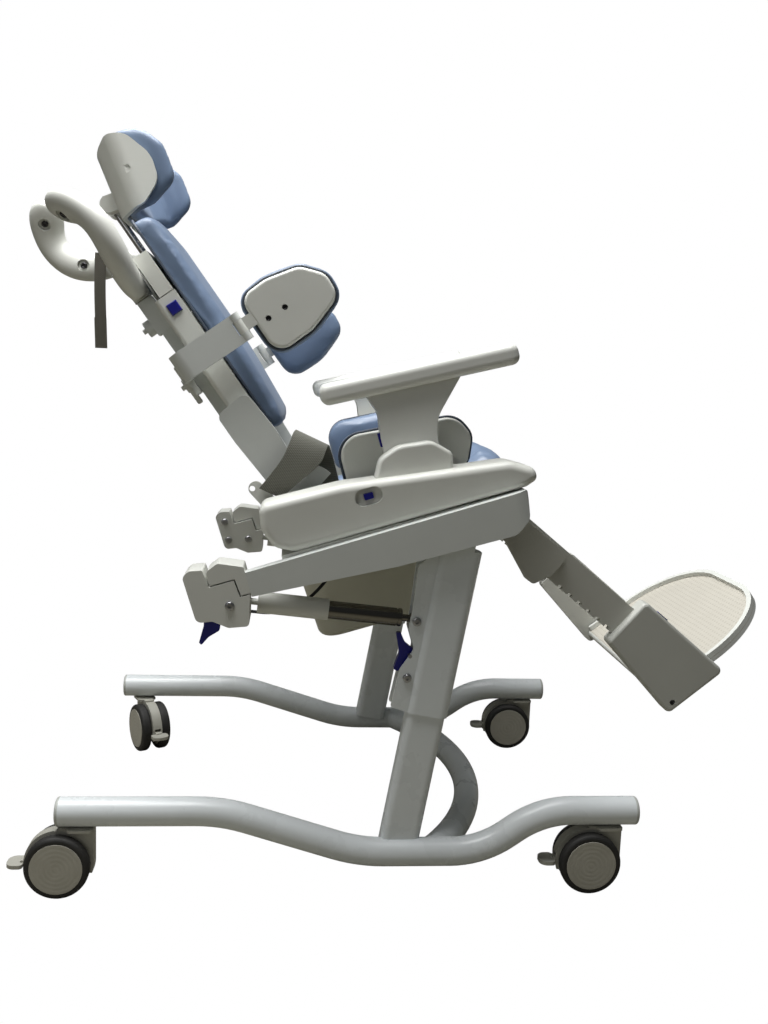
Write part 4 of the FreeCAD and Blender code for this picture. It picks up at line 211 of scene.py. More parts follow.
# %% [markdown]
# ## Stage and light
# The photograph is cut out on white, so camera rays see white on the floor and the background, while the
# chair itself is lit by a big soft light overhead and a weaker one on the left, and takes an olive bounce
# from the floor as its undersides do in the photograph.

# %% Stage and light
def white_to_the_eye(tree, seen_by_light, output, kind):
    """Mixes plain white for camera and transmission rays over what other rays see."""
    path = add(tree, "ShaderNodeLightPath").outputs
    first = maths(tree, "MAXIMUM", path["Is Camera Ray"], path["Is Transmission Ray"])
    white = add(tree, kind, None, Color=(1, 1, 1, 1), Strength=1.0)
    mix = add(tree, "ShaderNodeMixShader", None, in0=first, in1=seen_by_light.outputs[0],
              in2=white.outputs[0])
    tree.links.new(mix.outputs[0], output.inputs["Surface"])


world = bpy.data.worlds.new("studio")
world.use_nodes = True
bpy.context.scene.world = world
sky = world.node_tree.nodes["Background"]
sky.inputs["Color"].default_value = (0.93, 0.97, 1.0, 1)
sky.inputs["Strength"].default_value = 0.06
white_to_the_eye(world.node_tree, sky, world.node_tree.nodes["World Output"], "ShaderNodeBackground")

bm = bmesh.new()
bmesh.ops.create_grid(bm, x_segments=4, y_segments=4, size=12.0)
floor_mesh = bpy.data.meshes.new("floor")
bm.to_mesh(floor_mesh)
bm.free()
floor = bpy.data.objects.new("floor", floor_mesh)
floor_mesh.transform(Matrix.Translation((0, 0, -0.0005)))
bpy.context.scene.collection.objects.link(floor)
floor_paint = bpy.data.materials.new("floor_paint")
floor_paint.use_nodes = True
matt = add(floor_paint.node_tree, "ShaderNodeBsdfDiffuse", None, Color=(0.27, 0.255, 0.205, 1))
white_to_the_eye(floor_paint.node_tree, matt, floor_paint.node_tree.nodes["Material Output"],
                 "ShaderNodeEmission")
floor.data.materials.append(floor_paint)
floor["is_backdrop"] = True


def soft_light(name, spot, aim, size, watts):
    lamp = bpy.data.lights.new(name, "AREA")
    lamp.shape = "SQUARE"
    lamp.size = size
    lamp.energy = watts
    holder = bpy.data.objects.new(name, lamp)
    spot, aim = Vector(spot), Vector(aim)
    facing = (aim - spot).to_track_quat("-Z", "Y").to_matrix().to_4x4()
    holder.matrix_world = Matrix.Translation(spot) @ facing
    bpy.context.scene.collection.objects.link(holder)


soft_light("overhead", (-0.45, -0.12, 2.3), (-0.25, 0.0, 0.6), 1.5, 80)
soft_light("left_fill", (-1.9, -2.3, 1.5), (-0.2, 0, 0.6), 1.6, 5)

# %% [markdown]
# ## Paint, plastic and metal
# The hard pieces differ by small things: the powder coat on the tubes has an orange-peel ripple and dark
# scuffs, the mouldings have a fine even grain, and the gas tubes are ground along their length. Each of
# these is noise in object coordinates, so it keeps its size in millimetres on every piece.

# %% Moulded plastic and powder coat
SCUFF_COLOUR = (0.08, 0.08, 0.07, 1)


def grained(name, colour, roughness, grain_mm=0.5, grain_depth=0.25, mottle=0.05, scuffs=0.0, **numbers):
    """A skin with soft mottling, a fine grain, uneven gloss and, if asked, a few dark scuffs."""
    material, tree, shader, where = start_material(name, roughness, **numbers)
    clouds = noise(tree, where, 14.0, 4.0, 0.6)
    tint = mixed(tree, clouds, shade(colour, 1 - mottle), shade(colour, 1 + mottle))
    if scuffs:
        stretched = add(tree, "ShaderNodeMapping", None, Vector=where, Scale=(0.35, 1.0, 1.6)).outputs[0]
        marks = noise(tree, stretched, 70.0, 6.0, 0.7)
        picked = rescaled(tree, marks, From_Min=0.70, From_Max=0.78, To_Min=0.0, To_Max=scuffs)
        tint = mixed(tree, picked, tint, SCUFF_COLOUR)
    tree.links.new(tint, shader.inputs["Base Color"])
    gloss = rescaled(tree, clouds, From_Min=0.3, From_Max=0.7, To_Min=roughness - 0.05,
                     To_Max=roughness + 0.07)
    tree.links.new(gloss, shader.inputs["Roughness"])
    roughen(tree, shader, grain_depth, 0.0002, noise(tree, where, 1000.0 / grain_mm, 2.0))
    return material


base_paint = grained("base_paint", srgb(226, 231, 232), 0.28, grain_mm=3.0, grain_depth=0.35, scuffs=0.55)
frame_paint = grained("frame_paint", srgb(208, 211, 207), 0.36, grain_mm=3.0, grain_depth=0.3, scuffs=0.15)
shell_plastic = grained("shell_plastic", srgb(212, 213, 206), 0.40, scuffs=0.1)
pan_plastic = grained("pan_plastic", srgb(196, 195, 180), 0.33, grain_depth=0.1)
arm_foam = grained("arm_foam", srgb(216, 217, 211), 0.36, grain_mm=0.8)
cap_plastic = grained("cap_plastic", srgb(188, 191, 186), 0.45)
blue_plastic = grained("blue_plastic", srgb(14, 18, 120), 0.35, mottle=0.12)
# The leg rest and the foot brackets take darker copies of the frame paint and the shell plastic. This is
# painted shade for the dim light on their near faces.
leg_paint = grained("leg_paint", srgb(186, 186, 178), 0.38, grain_mm=3.0)
foot_plastic = grained("foot_plastic", srgb(190, 191, 184), 0.42)
black_rubber = grained("black_rubber", srgb(26, 26, 28), 0.55, mottle=0.2)

# %% Bright metal
def ground_metal(name, colour, roughness, along):
    """Steel with fine grinding lines across the direction given."""
    material, tree, shader, where = start_material(name, roughness, Metallic=1.0)
    scale = tuple(4000.0 if a else 30.0 for a in along)
    stretched = add(tree, "ShaderNodeMapping", None, Vector=where, Scale=scale).outputs[0]
    lines = noise(tree, stretched, 1.0, 3.0)
    tint = mixed(tree, lines, shade(colour, 0.82), shade(colour, 1.12))
    tree.links.new(tint, shader.inputs["Base Color"])
    gloss = rescaled(tree, lines, To_Min=roughness - 0.06, To_Max=roughness + 0.1)
    tree.links.new(gloss, shader.inputs["Roughness"])
    roughen(tree, shader, 0.15, 0.0001, lines)
    return material


bolt_steel = ground_metal("bolt_steel", srgb(172, 172, 174), 0.30, (0, 1, 0))
gas_tube_steel = ground_metal("gas_tube_steel", srgb(118, 115, 108), 0.20, (1, 0, 0))
dark_steel = ground_metal("dark_steel", srgb(74, 74, 76), 0.34, (0, 1, 0))
stem_chrome = ground_metal("stem_chrome", srgb(205, 205, 208), 0.16, (0, 0, 1))

# %% [markdown]
# ## Caster wheels
# A tyre and its pale disc are one CAD node on each caster, so one material has to know where the disc ends.
# It measures the distance from the axle's line in object coordinates, which turn with the wheel.

# %% Caster materials
CASTER_SWIVEL = {"rear_right": 0.0, "front_right": 0.0, "rear_left": 117.0, "front_left": 0.0}
DISC_EDGE = 0.0396


def distance_from_line(tree, where, point, axis):
    """How far the shaded point is from a line."""
    reach = vector_maths(tree, "SUBTRACT", where, point)
    along = vector_maths(tree, "DOT_PRODUCT", reach, axis, "Value")
    on_line = add(tree, "ShaderNodeVectorMath", {"operation": "SCALE"}, in0=axis, Scale=along).outputs[0]
    off = vector_maths(tree, "SUBTRACT", reach, on_line)
    return add(tree, "ShaderNodeVectorMath", {"operation": "LENGTH"}, in0=off).outputs["Value"]


def wheel_skin(name, point, axis):
    """Black tyre outside the disc's edge and scuffed grey-tan disc inside it."""
    material, tree, shader, where = start_material(name, 0.5)
    radius = distance_from_line(tree, where, point, axis)
    is_tyre = maths(tree, "GREATER_THAN", radius, DISC_EDGE)
    clouds = noise(tree, where, 45.0, 6.0, 0.65)
    disc = mixed(tree, clouds, srgb(164, 161, 149), srgb(186, 184, 174))
    tyre = mixed(tree, clouds, srgb(22, 22, 23), srgb(46, 45, 42))
    tree.links.new(mixed(tree, is_tyre, disc, tyre), shader.inputs["Base Color"])
    tree.links.new(rescaled(tree, is_tyre, To_Min=0.42, To_Max=0.66), shader.inputs["Roughness"])
    rings = maths(tree, "SINE", maths(tree, "MULTIPLY", radius, 900.0))
    roughen(tree, shader, 0.12, 0.0006, rings)
    return material


caster_plastic = grained("caster_plastic", srgb(176, 175, 165), 0.42, mottle=0.08, scuffs=0.3)

# %% [markdown]
# ## Footboard
# The board's white rim stands 9 mm above a beige tread with a dotted grip. The tread is picked out by its
# height over the hinge line in the board's own axes, and the dots are cells on a 9 mm grid.

# %% Footboard material
TREAD_HEIGHT = 0.009
DOTS_PER_METRE = 110.0


def tread_and_rim(name):
    """White plastic with a beige, dotted tread at one height of the board."""
    material, tree, shader, where = start_material(name, 0.5)
    origin = board(0, 0, 0)
    along = (board(1000, 0, 0) - origin).normalized()
    normal = (board(0, 0, 1000) - origin).normalized()
    reach = vector_maths(tree, "SUBTRACT", where, origin)
    height = vector_maths(tree, "DOT_PRODUCT", reach, normal, "Value")
    depth = vector_maths(tree, "DOT_PRODUCT", reach, along, "Value")
    across = add(tree, "ShaderNodeSeparateXYZ", None, in0=where).outputs["Y"]
    is_tread = maths(tree, "COMPARE", height, TREAD_HEIGHT, 0.0006)
    flat = add(tree, "ShaderNodeCombineXYZ", None, in0=depth, in1=across).outputs[0]
    dots = add(tree, "ShaderNodeTexVoronoi", {"voronoi_dimensions": "2D"}, Vector=flat, Scale=DOTS_PER_METRE,
               Randomness=0.0).outputs["Distance"]
    dot = rescaled(tree, dots, From_Min=0.18, From_Max=0.26, To_Min=1.0, To_Max=0.0)
    clouds = noise(tree, where, 18.0, 4.0)
    beige = mixed(tree, clouds, srgb(188, 184, 173), srgb(196, 192, 181))
    beige = mixed(tree, dot, beige, srgb(180, 176, 164))
    white = mixed(tree, clouds, srgb(206, 208, 203), srgb(218, 220, 214))
    tree.links.new(mixed(tree, is_tread, white, beige), shader.inputs["Base Color"])
    roughen(tree, shader, 0.5, 0.0008, maths(tree, "MULTIPLY", dot, is_tread))
    return material


board_skin = tread_and_rim("board_skin")

# %% [markdown]
# ## Dressing the CAD nodes
# Each node of the frame keeps its shape and takes one of these materials in its slots.

# %% Dress the CAD nodes
def dress(material, *nodes):
    for name in nodes:
        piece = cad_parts[name]
        piece.data.materials.clear()
        piece.data.materials.append(material)


def soften(width, *nodes):
    """Rounds the sharp edges of CAD nodes by a few millimetres, as paint and moulding do."""
    for name in nodes:
        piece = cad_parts[name]
        weld = piece.modifiers.new("joined", "WELD")
        weld.merge_threshold = 0.00002
        flat = piece.modifiers.new("whole_faces", "DECIMATE")
        flat.decimate_type = "DISSOLVE"
        flat.angle_limit = math.radians(1.0)
        edge = piece.modifiers.new("soft_edge", "BEVEL")
        edge.width = width / 1000
        edge.segments = 3
        edge.limit_method = "ANGLE"
        edge.angle_limit = math.radians(40)
        even = piece.modifiers.new("even_shade", "WEIGHTED_NORMAL")
        even.keep_sharp = False


dress(base_paint, "base_tubes", "lower_posts", "post_sleeves")
dress(cap_plastic, "rail_end_caps")
dress(frame_paint, "tilt_frame", "back_frame", "lateral_arm_left", "lateral_arm_right")
dress(leg_paint, "leg_rest")
dress(foot_plastic, "foot_brackets")
dress(shell_plastic, "rear_handle", "seat_shells", "seat_deck", "hip_guide_shells", "back_shell",
      "upper_back", "lateral_shell_left", "lateral_shell_right", "headrest_shell", "push_handle_left",
      "push_handle_right", "gas_shrouds", "lateral_knob_left", "lateral_knob_right")
dress(pan_plastic, "commode_pan")
dress(arm_foam, "arm_rest_left", "arm_rest_right")
dress(blue_plastic, "height_levers", "tilt_trigger", "seat_button_left", "seat_button_right",
      "arm_button_left", "arm_button_right", "back_button", "foot_buttons")
dress(bolt_steel, "post_pins", "frame_pins")
dress(gas_tube_steel, "gas_cylinders")
dress(stem_chrome, "head_stem")
dress(black_rubber, "release_cable")
dress(board_skin, "footboard")
for corner, degrees in CASTER_SWIVEL.items():
    swivel = math.radians(degrees)
    low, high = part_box("caster_wheels_" + corner)
    axle = (low + high) / 2
    axis = Vector((-math.sin(swivel), math.cos(swivel), 0))
    dress(wheel_skin("wheel_skin_" + corner, axle, axis), "caster_wheels_" + corner)
    dress(caster_plastic, "caster_fork_" + corner, "caster_pedal_" + corner)
soften(5.0, "foot_brackets", "rear_handle")
soften(3.0, "lateral_arm_left", "lateral_arm_right", "tilt_frame", "leg_rest", "back_shell", "upper_back",
       "back_frame", "lateral_knob_left", "lateral_knob_right", "seat_deck")
print(len(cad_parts), "CAD nodes dressed")

# %% [markdown]
# ## Cushion skin
# The cushions are foam in a smooth coated skin: slate blue, satin, with a faint pebble grain and a soft
# sheen on the turns of the edges.

# %% Cushion skin
def coated_skin(name, colour):
    material, tree, shader, where = start_material(name, 0.43, Coat_Weight=0.12, Coat_Roughness=0.35,
                                                   Sheen_Weight=0.08)
    clouds = noise(tree, where, 9.0, 5.0, 0.6)
    tint = mixed(tree, clouds, shade(colour, 0.9), shade(colour, 1.1))
    tree.links.new(tint, shader.inputs["Base Color"])
    gloss = rescaled(tree, clouds, From_Min=0.3, From_Max=0.7, To_Min=0.38, To_Max=0.5)
    tree.links.new(gloss, shader.inputs["Roughness"])
    pebble = add(tree, "ShaderNodeTexVoronoi", None, Vector=where, Scale=800.0).outputs["Distance"]
    roughen(tree, shader, 0.18, 0.0003, pebble)
    return material


cushion_skin = coated_skin("cushion_skin", srgb(99, 116, 140))

# %% [markdown]
# ## Outlines and lofts
# A moulded cushion is easiest to describe by its side outline, as corners with radii, and by how that
# outline grows and shrinks through its thickness. `rounded` spaces points evenly round such an outline,
# `offset` moves them in or out from their middle, and `loft` skins a stack of like rings and closes both
# ends.

# %% Outlines and lofts
def rounded(corners, count):
    """Evenly spaced (u, v) points round an outline of corners (u, v, radius)."""
    dense = []
    for i, (u, v, r) in enumerate(corners):
        here = np.array([u, v], float)
        before = np.array(corners[i - 1][:2], float) - here
        after = np.array(corners[(i + 1) % len(corners)][:2], float) - here
        before /= np.linalg.norm(before)
        after /= np.linalg.norm(after)
        half = math.acos(max(-1.0, min(1.0, float(before @ after)))) / 2
        middle = (before + after) / np.linalg.norm(before + after)
        centre = here + middle * r / math.sin(half)
        a, b = before * r / math.tan(half) + here - centre, after * r / math.tan(half) + here - centre
        sweep = math.atan2(a[0] * b[1] - a[1] * b[0], float(a @ b))
        for k in range(13):
            t = sweep * k / 12
            dense.append(centre + np.array([a[0] * math.cos(t) - a[1] * math.sin(t),
                                            a[0] * math.sin(t) + a[1] * math.cos(t)]))
    dense = np.array(dense + [dense[0]])
    walk = np.concatenate([[0], np.cumsum(np.linalg.norm(np.diff(dense, axis=0), axis=1))])
    stops = np.linspace(0, walk[-1], count, endpoint=False)
    return np.stack([np.interp(stops, walk, dense[:, 0]), np.interp(stops, walk, dense[:, 1])], axis=1)


def offset(points, amount):
    """The ring moved out, or in if negative, from its middle by about the amount."""
    centre = points.mean(axis=0)
    away = points - centre
    far = np.linalg.norm(away, axis=1, keepdims=True)
    return centre + away * np.maximum(0.02, 1 + amount / far)


def finished_piece(name, bm, material):
    """Turns a bmesh into a smooth-shaded object at the origin."""
    bmesh.ops.recalc_face_normals(bm, faces=bm.faces)
    mesh = bpy.data.meshes.new(name)
    bm.to_mesh(mesh)
    bm.free()
    mesh.polygons.foreach_set("use_smooth", [True] * len(mesh.polygons))
    mesh.materials.append(material)
    piece = bpy.data.objects.new(name, mesh)
    bpy.context.scene.collection.objects.link(piece)
    return piece


def skin(bm, rings, around=False):
    """Skins rings of Vectors; the ends are closed, or joined to each other if around."""
    rows = [[bm.verts.new(p) for p in ring] for ring in rings]
    pairs = list(zip(rows, rows[1:])) + ([(rows[-1], rows[0])] if around else [])
    for one, two in pairs:
        for i in range(len(one)):
            j = (i + 1) % len(one)
            bm.faces.new((one[i], one[j], two[j], two[i]))
    if not around:
        bm.faces.new(rows[0])
        bm.faces.new(rows[-1])


def loft(name, rings, material, around=False):
    """One piece skinned from one stack of rings."""
    bm = bmesh.new()
    skin(bm, rings, around)
    return finished_piece(name, bm, material)


# %% [markdown]
# ## Seat cushion
# The seat is a padded ring round the commode opening. Its section is a crowned loaf that runs round from the
# opening to the rim, so the ring is skinned section by section like a bent tyre. The front rises into a roll
# behind the sitter's knees, and the sides fall away a little. It starts about 3 mm small, to leave room for
# the swelling that comes later.

# %% Seat cushion
SEAT_BOARD_TOP = 41.0
SEAT_TOP = 78.0
SEAT_SECTION = ((0.05, 0.0), (0.0, 0.18), (-0.005, 0.5), (0.01, 0.78), (0.06, 0.94), (0.18, 1.0),
                (0.36, 1.03), (0.55, 1.04), (0.74, 1.0), (0.88, 0.9), (0.96, 0.74), (1.0, 0.5),
                (0.995, 0.2), (0.97, 0.0), (0.7, -0.02), (0.35, -0.02))


def seat_ring():
    """Sections as shares of the way from the opening to the rim, and of the height over the board."""
    steps = 112
    outer = rounded([(-254, -201, 26), (119, -201, 44), (119, 201, 44), (-254, 201, 26)], 4 * steps)
    inner = rounded([(-222, -101, 92), (32, -101, 92), (32, 101, 92), (-222, 101, 92)], 4 * steps)
    middle = np.array([-95.0, 0.0])
    rings = []
    for k in range(steps):
        angle = 2 * math.pi * k / steps
        ray = np.array([math.cos(angle), math.sin(angle)])

        def along_ray(points):
            away = points - middle
            side = np.abs(away[:, 0] * ray[1] - away[:, 1] * ray[0])
            ahead = away @ ray > 0
            return points[np.where(ahead, side, 1e9).argmin()]

        near, far = along_ray(inner), along_ray(outer)
        section = []
        for share, lift in SEAT_SECTION:
            s, y = near + (far - near) * share
            knee_roll = 15.0 * max(0.0, min(1.0, (s - 48) / 34)) ** 1.6
            side_fall = 5.0 * (abs(y) / 203) ** 4
            top = SEAT_TOP + knee_roll - side_fall
            section.append(seat(s, y, SEAT_BOARD_TOP + (top - SEAT_BOARD_TOP) * lift))
        rings.append(section)
    return loft("seat_cushion", rings, cushion_skin, around=True)


seat_cushion = seat_ring()

# %% [markdown]
# ## Shell-backed cushions
# The hip guides and the side supports are the same kind of thing: an egg-shaped cushion glued in a thin
# white shell. The rings start flat on the shell, swell past its edge and close over a domed face.

# %% Hip and side cushions
def egg_cushion(name, outline, y_back, y_face, place, swell):
    """A domed cushion from its shell side at y_back to its face at y_face."""
    base = rounded(outline, 96)
    rows = ((0.0, -4), (0.02, 0), (0.14, swell * 0.7), (0.32, swell), (0.52, swell), (0.7, swell * 0.6),
            (0.84, -2), (0.93, -10), (0.98, -22), (1.0, -40))
    rings = []
    for depth, grow in rows:
        y = y_back + (y_face - y_back) * depth
        rings.append([place(u, y, v) for u, v in offset(base, grow)])
    return loft(name, rings, cushion_skin)


HIP_OUTLINE = [(-146, 88, 14), (-146, 181, 36), (46, 166, 34), (64, 130, 26), (46, 88, 14)]
SUPPORT_OUTLINE = [(98, 214, 26), (165, 216, 60), (226, 236, 24), (228, 274, 26), (200, 306, 34),
                   (146, 318, 50), (98, 316, 22)]
HIP_BACK, HIP_FACE = 221.5, 193.5
SUPPORT_BACK, SUPPORT_FACE = 237.5, 208.0
SIDES = (("right", -1), ("left", 1))
SUPPORT_DROP = {"right": 0, "left": 40}
hip_cushions = [egg_cushion("hip_cushion_" + side, HIP_OUTLINE, sign * HIP_BACK, sign * HIP_FACE, seat, 6)
                for side, sign in SIDES]
support_cushions = []
for side, sign in SIDES:
    lowered = [(u, v - SUPPORT_DROP[side], r) for u, v, r in SUPPORT_OUTLINE]
    support_cushions.append(egg_cushion("side_cushion_" + side, lowered, sign * SUPPORT_BACK,
                                        sign * SUPPORT_FACE, back, 8))

# %% [markdown]
# ## Back cushion
# A tall crowned slab: flat where it lies on the back tray, rolled over at the top and thinned at the bottom.
# It is skinned across the chair, and the last few sections at each side shrink, which rounds the side edge.

# %% Back cushion
RIGHT_EDGE = [(-1.0, 17), (-0.995, 9), (-0.975, 3.5), (-0.94, 1)]
FLAT_PART = [(share, 0) for share in (-0.88, -0.7, -0.45, -0.2, 0.0, 0.2, 0.45, 0.7, 0.88)]
LEFT_EDGE = [(-share, shrink) for share, shrink in reversed(RIGHT_EDGE)]


def back_slab():
    rear, half = 25.5, 200.0
    rings = []
    for share, shrink in RIGHT_EDGE + FLAT_PART + LEFT_EDGE:
        face = rear + 38.0 - 7.0 * abs(share) ** 5
        outline = rounded([(rear, 125, 4), (face - 13, 114, 8), (face - 3, 244, 240), (face, 325, 400),
                           (face - 1, 468, 80), (face - 5, 508, 15), (rear, 505, 6)], 120)
        rings.append([back(u, share * half, v) for u, v in offset(outline, -shrink)])
    return loft("back_cushion", rings, cushion_skin)


back_cushion = back_slab()

# %% [markdown]
# ## Head cushion
# The head cushion follows the inside of the head support's bent shell, from one wing round to the other. Its
# path is drawn in plan, and its height at each place comes from the wing's side outline, so the tips close
# with the same round front as the wings.

# %% Head cushion
def head_wrap():
    out, rear, thick, tip = 127.5, 38.5, 24.0, 127.0
    side = rounded([(22, -38, 12), (76, -45, 26), (125, -19, 34), (129, 30, 50), (102, 72, 34), (60, 83, 24),
                    (22, 75, 14)], 400)

    def heights(x):
        close = np.abs(side[:, 0] - x) < 2.0
        return side[close, 1].min(), side[close, 1].max()

    corner = [(tip, -out, 0.1), (rear + 30, -out, 30), (rear, -out + 46, 44), (rear, out - 46, 44),
              (rear + 30, out, 30), (tip, out, 0.1)]
    loop = rounded(corner + [(tip + 60, 0, 0.1)], 1600)
    path = loop[(loop[:, 0] <= tip + 0.01)]
    start = int(np.argmin(np.hypot(path[:, 0] - tip, path[:, 1] + out)))
    path = np.roll(path, -start, axis=0)
    walk = np.concatenate([[0], np.cumsum(np.linalg.norm(np.diff(path, axis=0), axis=1))])
    stops = (1 - np.cos(np.linspace(0, math.pi, 90))) / 2 * walk[-1]
    line = np.stack([np.interp(stops, walk, path[:, 0]), np.interp(stops, walk, path[:, 1])], axis=1)
    rings = []
    for k in range(len(line)):
        ahead = line[min(k + 1, len(line) - 1)] - line[max(k - 1, 0)]
        ahead /= np.linalg.norm(ahead)
        inward = np.array([-ahead[1], ahead[0]])
        low, high = heights(min(line[k][0], 127.5))
        end = min(stops[k], walk[-1] - stops[k])
        thin = math.sqrt(max(0.02, 1 - max(0.0, 1 - end / 16.0) ** 2))
        half, mid = (high - low) / 2, (high + low) / 2
        depth = thick * thin / 2
        r = 0.8 * min(half, depth)
        section = rounded([(-depth, -half, r), (depth, -half, r), (depth, half, r), (-depth, half, r)], 40)
        x, y = line[k]
        rings.append([head(x + inward[0] * a, y + inward[1] * a, mid + b) for a, b in section])
    return loft("head_cushion", rings, cushion_skin)


head_cushion = head_wrap()

# %% [markdown]
# ## Swelling the cushions
# Foam in a tight skin bulges a little between its edges, and that is hard to draw. Each cushion is remeshed
# to even 5 mm faces and blown up as cloth for twenty frames with no gravity. A point that moves further than
# the cap is pulled back to it, and points on the side that lies on a shell or a board stay put.

# %% Swell the cushions
FACE_SIZE = 0.005
LAST_FRAME = 20


def remesh(piece):
    """Gives a piece even faces, and puts them into its own mesh."""
    change = piece.modifiers.new("even_faces", "REMESH")
    change.mode = "VOXEL"
    change.voxel_size = FACE_SIZE
    change.use_smooth_shade = True
    graph = bpy.context.evaluated_depsgraph_get()
    shaped = bpy.data.meshes.new_from_object(piece.evaluated_get(graph))
    piece.modifiers.clear()
    piece.data = shaped


def coordinates(mesh):
    flat = np.zeros(len(mesh.vertices) * 3)
    mesh.vertices.foreach_get("co", flat)
    return flat.reshape(-1, 3)


def swell(jobs):
    """Blows up every (piece, cap, resting direction) together, then caps how far each point moved."""
    before = {}
    for piece, cap, rests in jobs:
        remesh(piece)
        before[piece.name] = coordinates(piece.data)
        cloth = piece.modifiers.new("swelling", "CLOTH")
        cloth.settings.quality = 4
        cloth.settings.mass = 0.3
        cloth.settings.tension_stiffness = 12
        cloth.settings.compression_stiffness = 12
        cloth.settings.bending_stiffness = 0.8
        cloth.settings.use_pressure = True
        cloth.settings.uniform_pressure_force = 4.0
        cloth.settings.effector_weights.gravity = 0.0
        cloth.collision_settings.use_collision = False
        cloth.point_cache.frame_start = 1
        cloth.point_cache.frame_end = LAST_FRAME
    scene = bpy.context.scene
    for number in range(1, LAST_FRAME + 1):
        scene.frame_set(number)
        bpy.context.view_layer.update()
    graph = bpy.context.evaluated_depsgraph_get()
    for piece, cap, rests in jobs:
        blown = piece.evaluated_get(graph).to_mesh()
        moved = coordinates(blown) - before[piece.name]
        normals = np.array([v.normal for v in piece.data.vertices])
        free = np.clip(1.0 - np.maximum(0.0, normals @ np.array(rests)) * 1.6, 0.0, 1.0)
        far = np.linalg.norm(moved, axis=1)
        keep = np.minimum(1.0, cap / np.maximum(far, 1e-9)) * free
        piece.modifiers.clear()
        piece.data.vertices.foreach_set("co", (before[piece.name] + moved * keep[:, None]).ravel())
        piece.data.update()
        furthest = round(float((far * keep).max()), 4)
        print(piece.name, len(piece.data.vertices), "points, moved up to", furthest)
    scene.frame_set(1)


seat_down = seat(0, 0, -1000) - seat(0, 0, 0)
back_rear = back(-1000, 0, 0) - back(0, 0, 0)
head_rear = head(-1000, 0, 0) - head(0, 0, 0)
jobs = [(seat_cushion, 0.003, seat_down), (back_cushion, 0.0035, back_rear), (head_cushion, 0.002, head_rear)]
for group in (hip_cushions, support_cushions):
    jobs += [(group[0], 0.003, Vector((0, -1, 0))), (group[1], 0.003, Vector((0, 1, 0)))]
swell(jobs)
cushions = [seat_cushion, back_cushion, head_cushion] + hip_cushions + support_cushions
for piece in cushions:
    finer = piece.modifiers.new("finer", "SUBSURF")
    finer.levels = 1
    finer.render_levels = 1
    piece.data.polygons.foreach_set("use_smooth", [True] * len(piece.data.polygons))
    if not piece.data.materials:
        piece.data.materials.append(cushion_skin)
for piece in [seat_cushion] + hip_cushions:
    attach(piece, "seat")
    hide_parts("seat_pads")
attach(back_cushion, "back")
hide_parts("back_pad")
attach(head_cushion, "headrest")
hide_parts("headrest_pad")
for piece, side in zip(support_cushions, ("right", "left")):
    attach(piece, "lateral_support_" + side)
    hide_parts("lateral_pad_" + side)

# %% [markdown]
# ## Piping
# A thin dark bead closes the seam where each skin meets its shell, and runs up, over and down the rear edge
# of the back cushion. It could be a bevelled curve, but skinning rings along a line needs no extra object.

# %% Piping
piping_skin = grained("piping_skin", srgb(62, 70, 82), 0.5, mottle=0.1)


def bead(name, line, flat, radius, closed, body):
    """A round bead along places that lie in one plane with the normal given."""
    rings = []
    for k, spot in enumerate(line):
        after = line[(k + 1) % len(line)] if closed else line[min(k + 1, len(line) - 1)]
        before = line[k - 1] if closed else line[max(k - 1, 0)]
        aside = (after - before).normalized().cross(flat).normalized()
        turns = [2 * math.pi * i / 10 for i in range(10)]
        rings.append([spot + (aside * math.cos(a) + flat * math.sin(a)) * radius for a in turns])
    piece = loft(name, rings, piping_skin, around=closed)
    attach(piece, body)
    return piece


ACROSS = Vector((0, 1, 0))
BEAD_R = 0.002
BEAD_OUT = 2.6
hip_ring = offset(rounded(HIP_OUTLINE, 96), BEAD_OUT)
support_ring = offset(rounded(SUPPORT_OUTLINE, 96), BEAD_OUT)
beads = []
for side, sign in SIDES:
    line = [seat(u, sign * 221.6, v) for u, v in hip_ring]
    beads.append(bead("hip_piping_" + side, line, ACROSS, BEAD_R, True, "seat"))
    line = [back(u, sign * 237.4, v - SUPPORT_DROP[side]) for u, v in support_ring]
    beads.append(bead("support_piping_" + side, line, ACROSS, BEAD_R, True, "lateral_support_" + side))
edge = rounded([(-201, 130, 1), (-201, 508, 24), (201, 508, 24), (201, 130, 1)], 400)
edge = edge[edge[:, 1] > 131.0]
start = int(np.argmax(np.linalg.norm(edge - np.roll(edge, 1, axis=0), axis=1)))
edge = np.roll(edge, -start, axis=0)
back_normal = (back(1000, 0, 0) - back(0, 0, 0)).normalized()
beads.append(bead("back_piping", [back(28.4, y, u) for y, u in edge], back_normal, 0.0023, False, "back"))
print(len(beads), "beads of piping")

# %% [markdown]
# ## Screws
# The recesses in the push handles, the side supports and the foot brackets each hold a dark screw with a
# six-sided socket. A head is one stack of rings whose inner ones are drawn to a hexagon.

# %% Screws
def screw_rings(spot, out, radius, height):
    """Rings of a domed head that sits at spot and faces out."""
    aside = out.orthogonal().normalized()
    over = out.cross(aside)
    rings = []
    for share, rise, six in ((1.0, 0.0, 0), (1.0, 0.5, 0), (0.93, 0.8, 0), (0.78, 0.98, 0), (0.6, 1.0, 0),
                             (0.5, 1.0, 1), (0.5, 0.4, 1), (0.1, 0.3, 0)):
        ring = []
        for i in range(24):
            a = 2 * math.pi * i / 24
            flat = math.cos(math.pi / 6) / math.cos((a % (math.pi / 3)) - math.pi / 6) if six else 1.0
            reach = radius * share * flat
            ring.append(spot + (aside * math.cos(a) + over * math.sin(a)) * reach + out * height * rise)
        rings.append(ring)
    return rings


def screws(name, spots, radius, height, body):
    """All the screws of one body, each given as a place and the way it faces."""
    bm = bmesh.new()
    for spot, out in spots:
        skin(bm, screw_rings(spot, out, radius, height))
    piece = finished_piece(name, bm, dark_steel)
    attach(piece, body)
    return piece


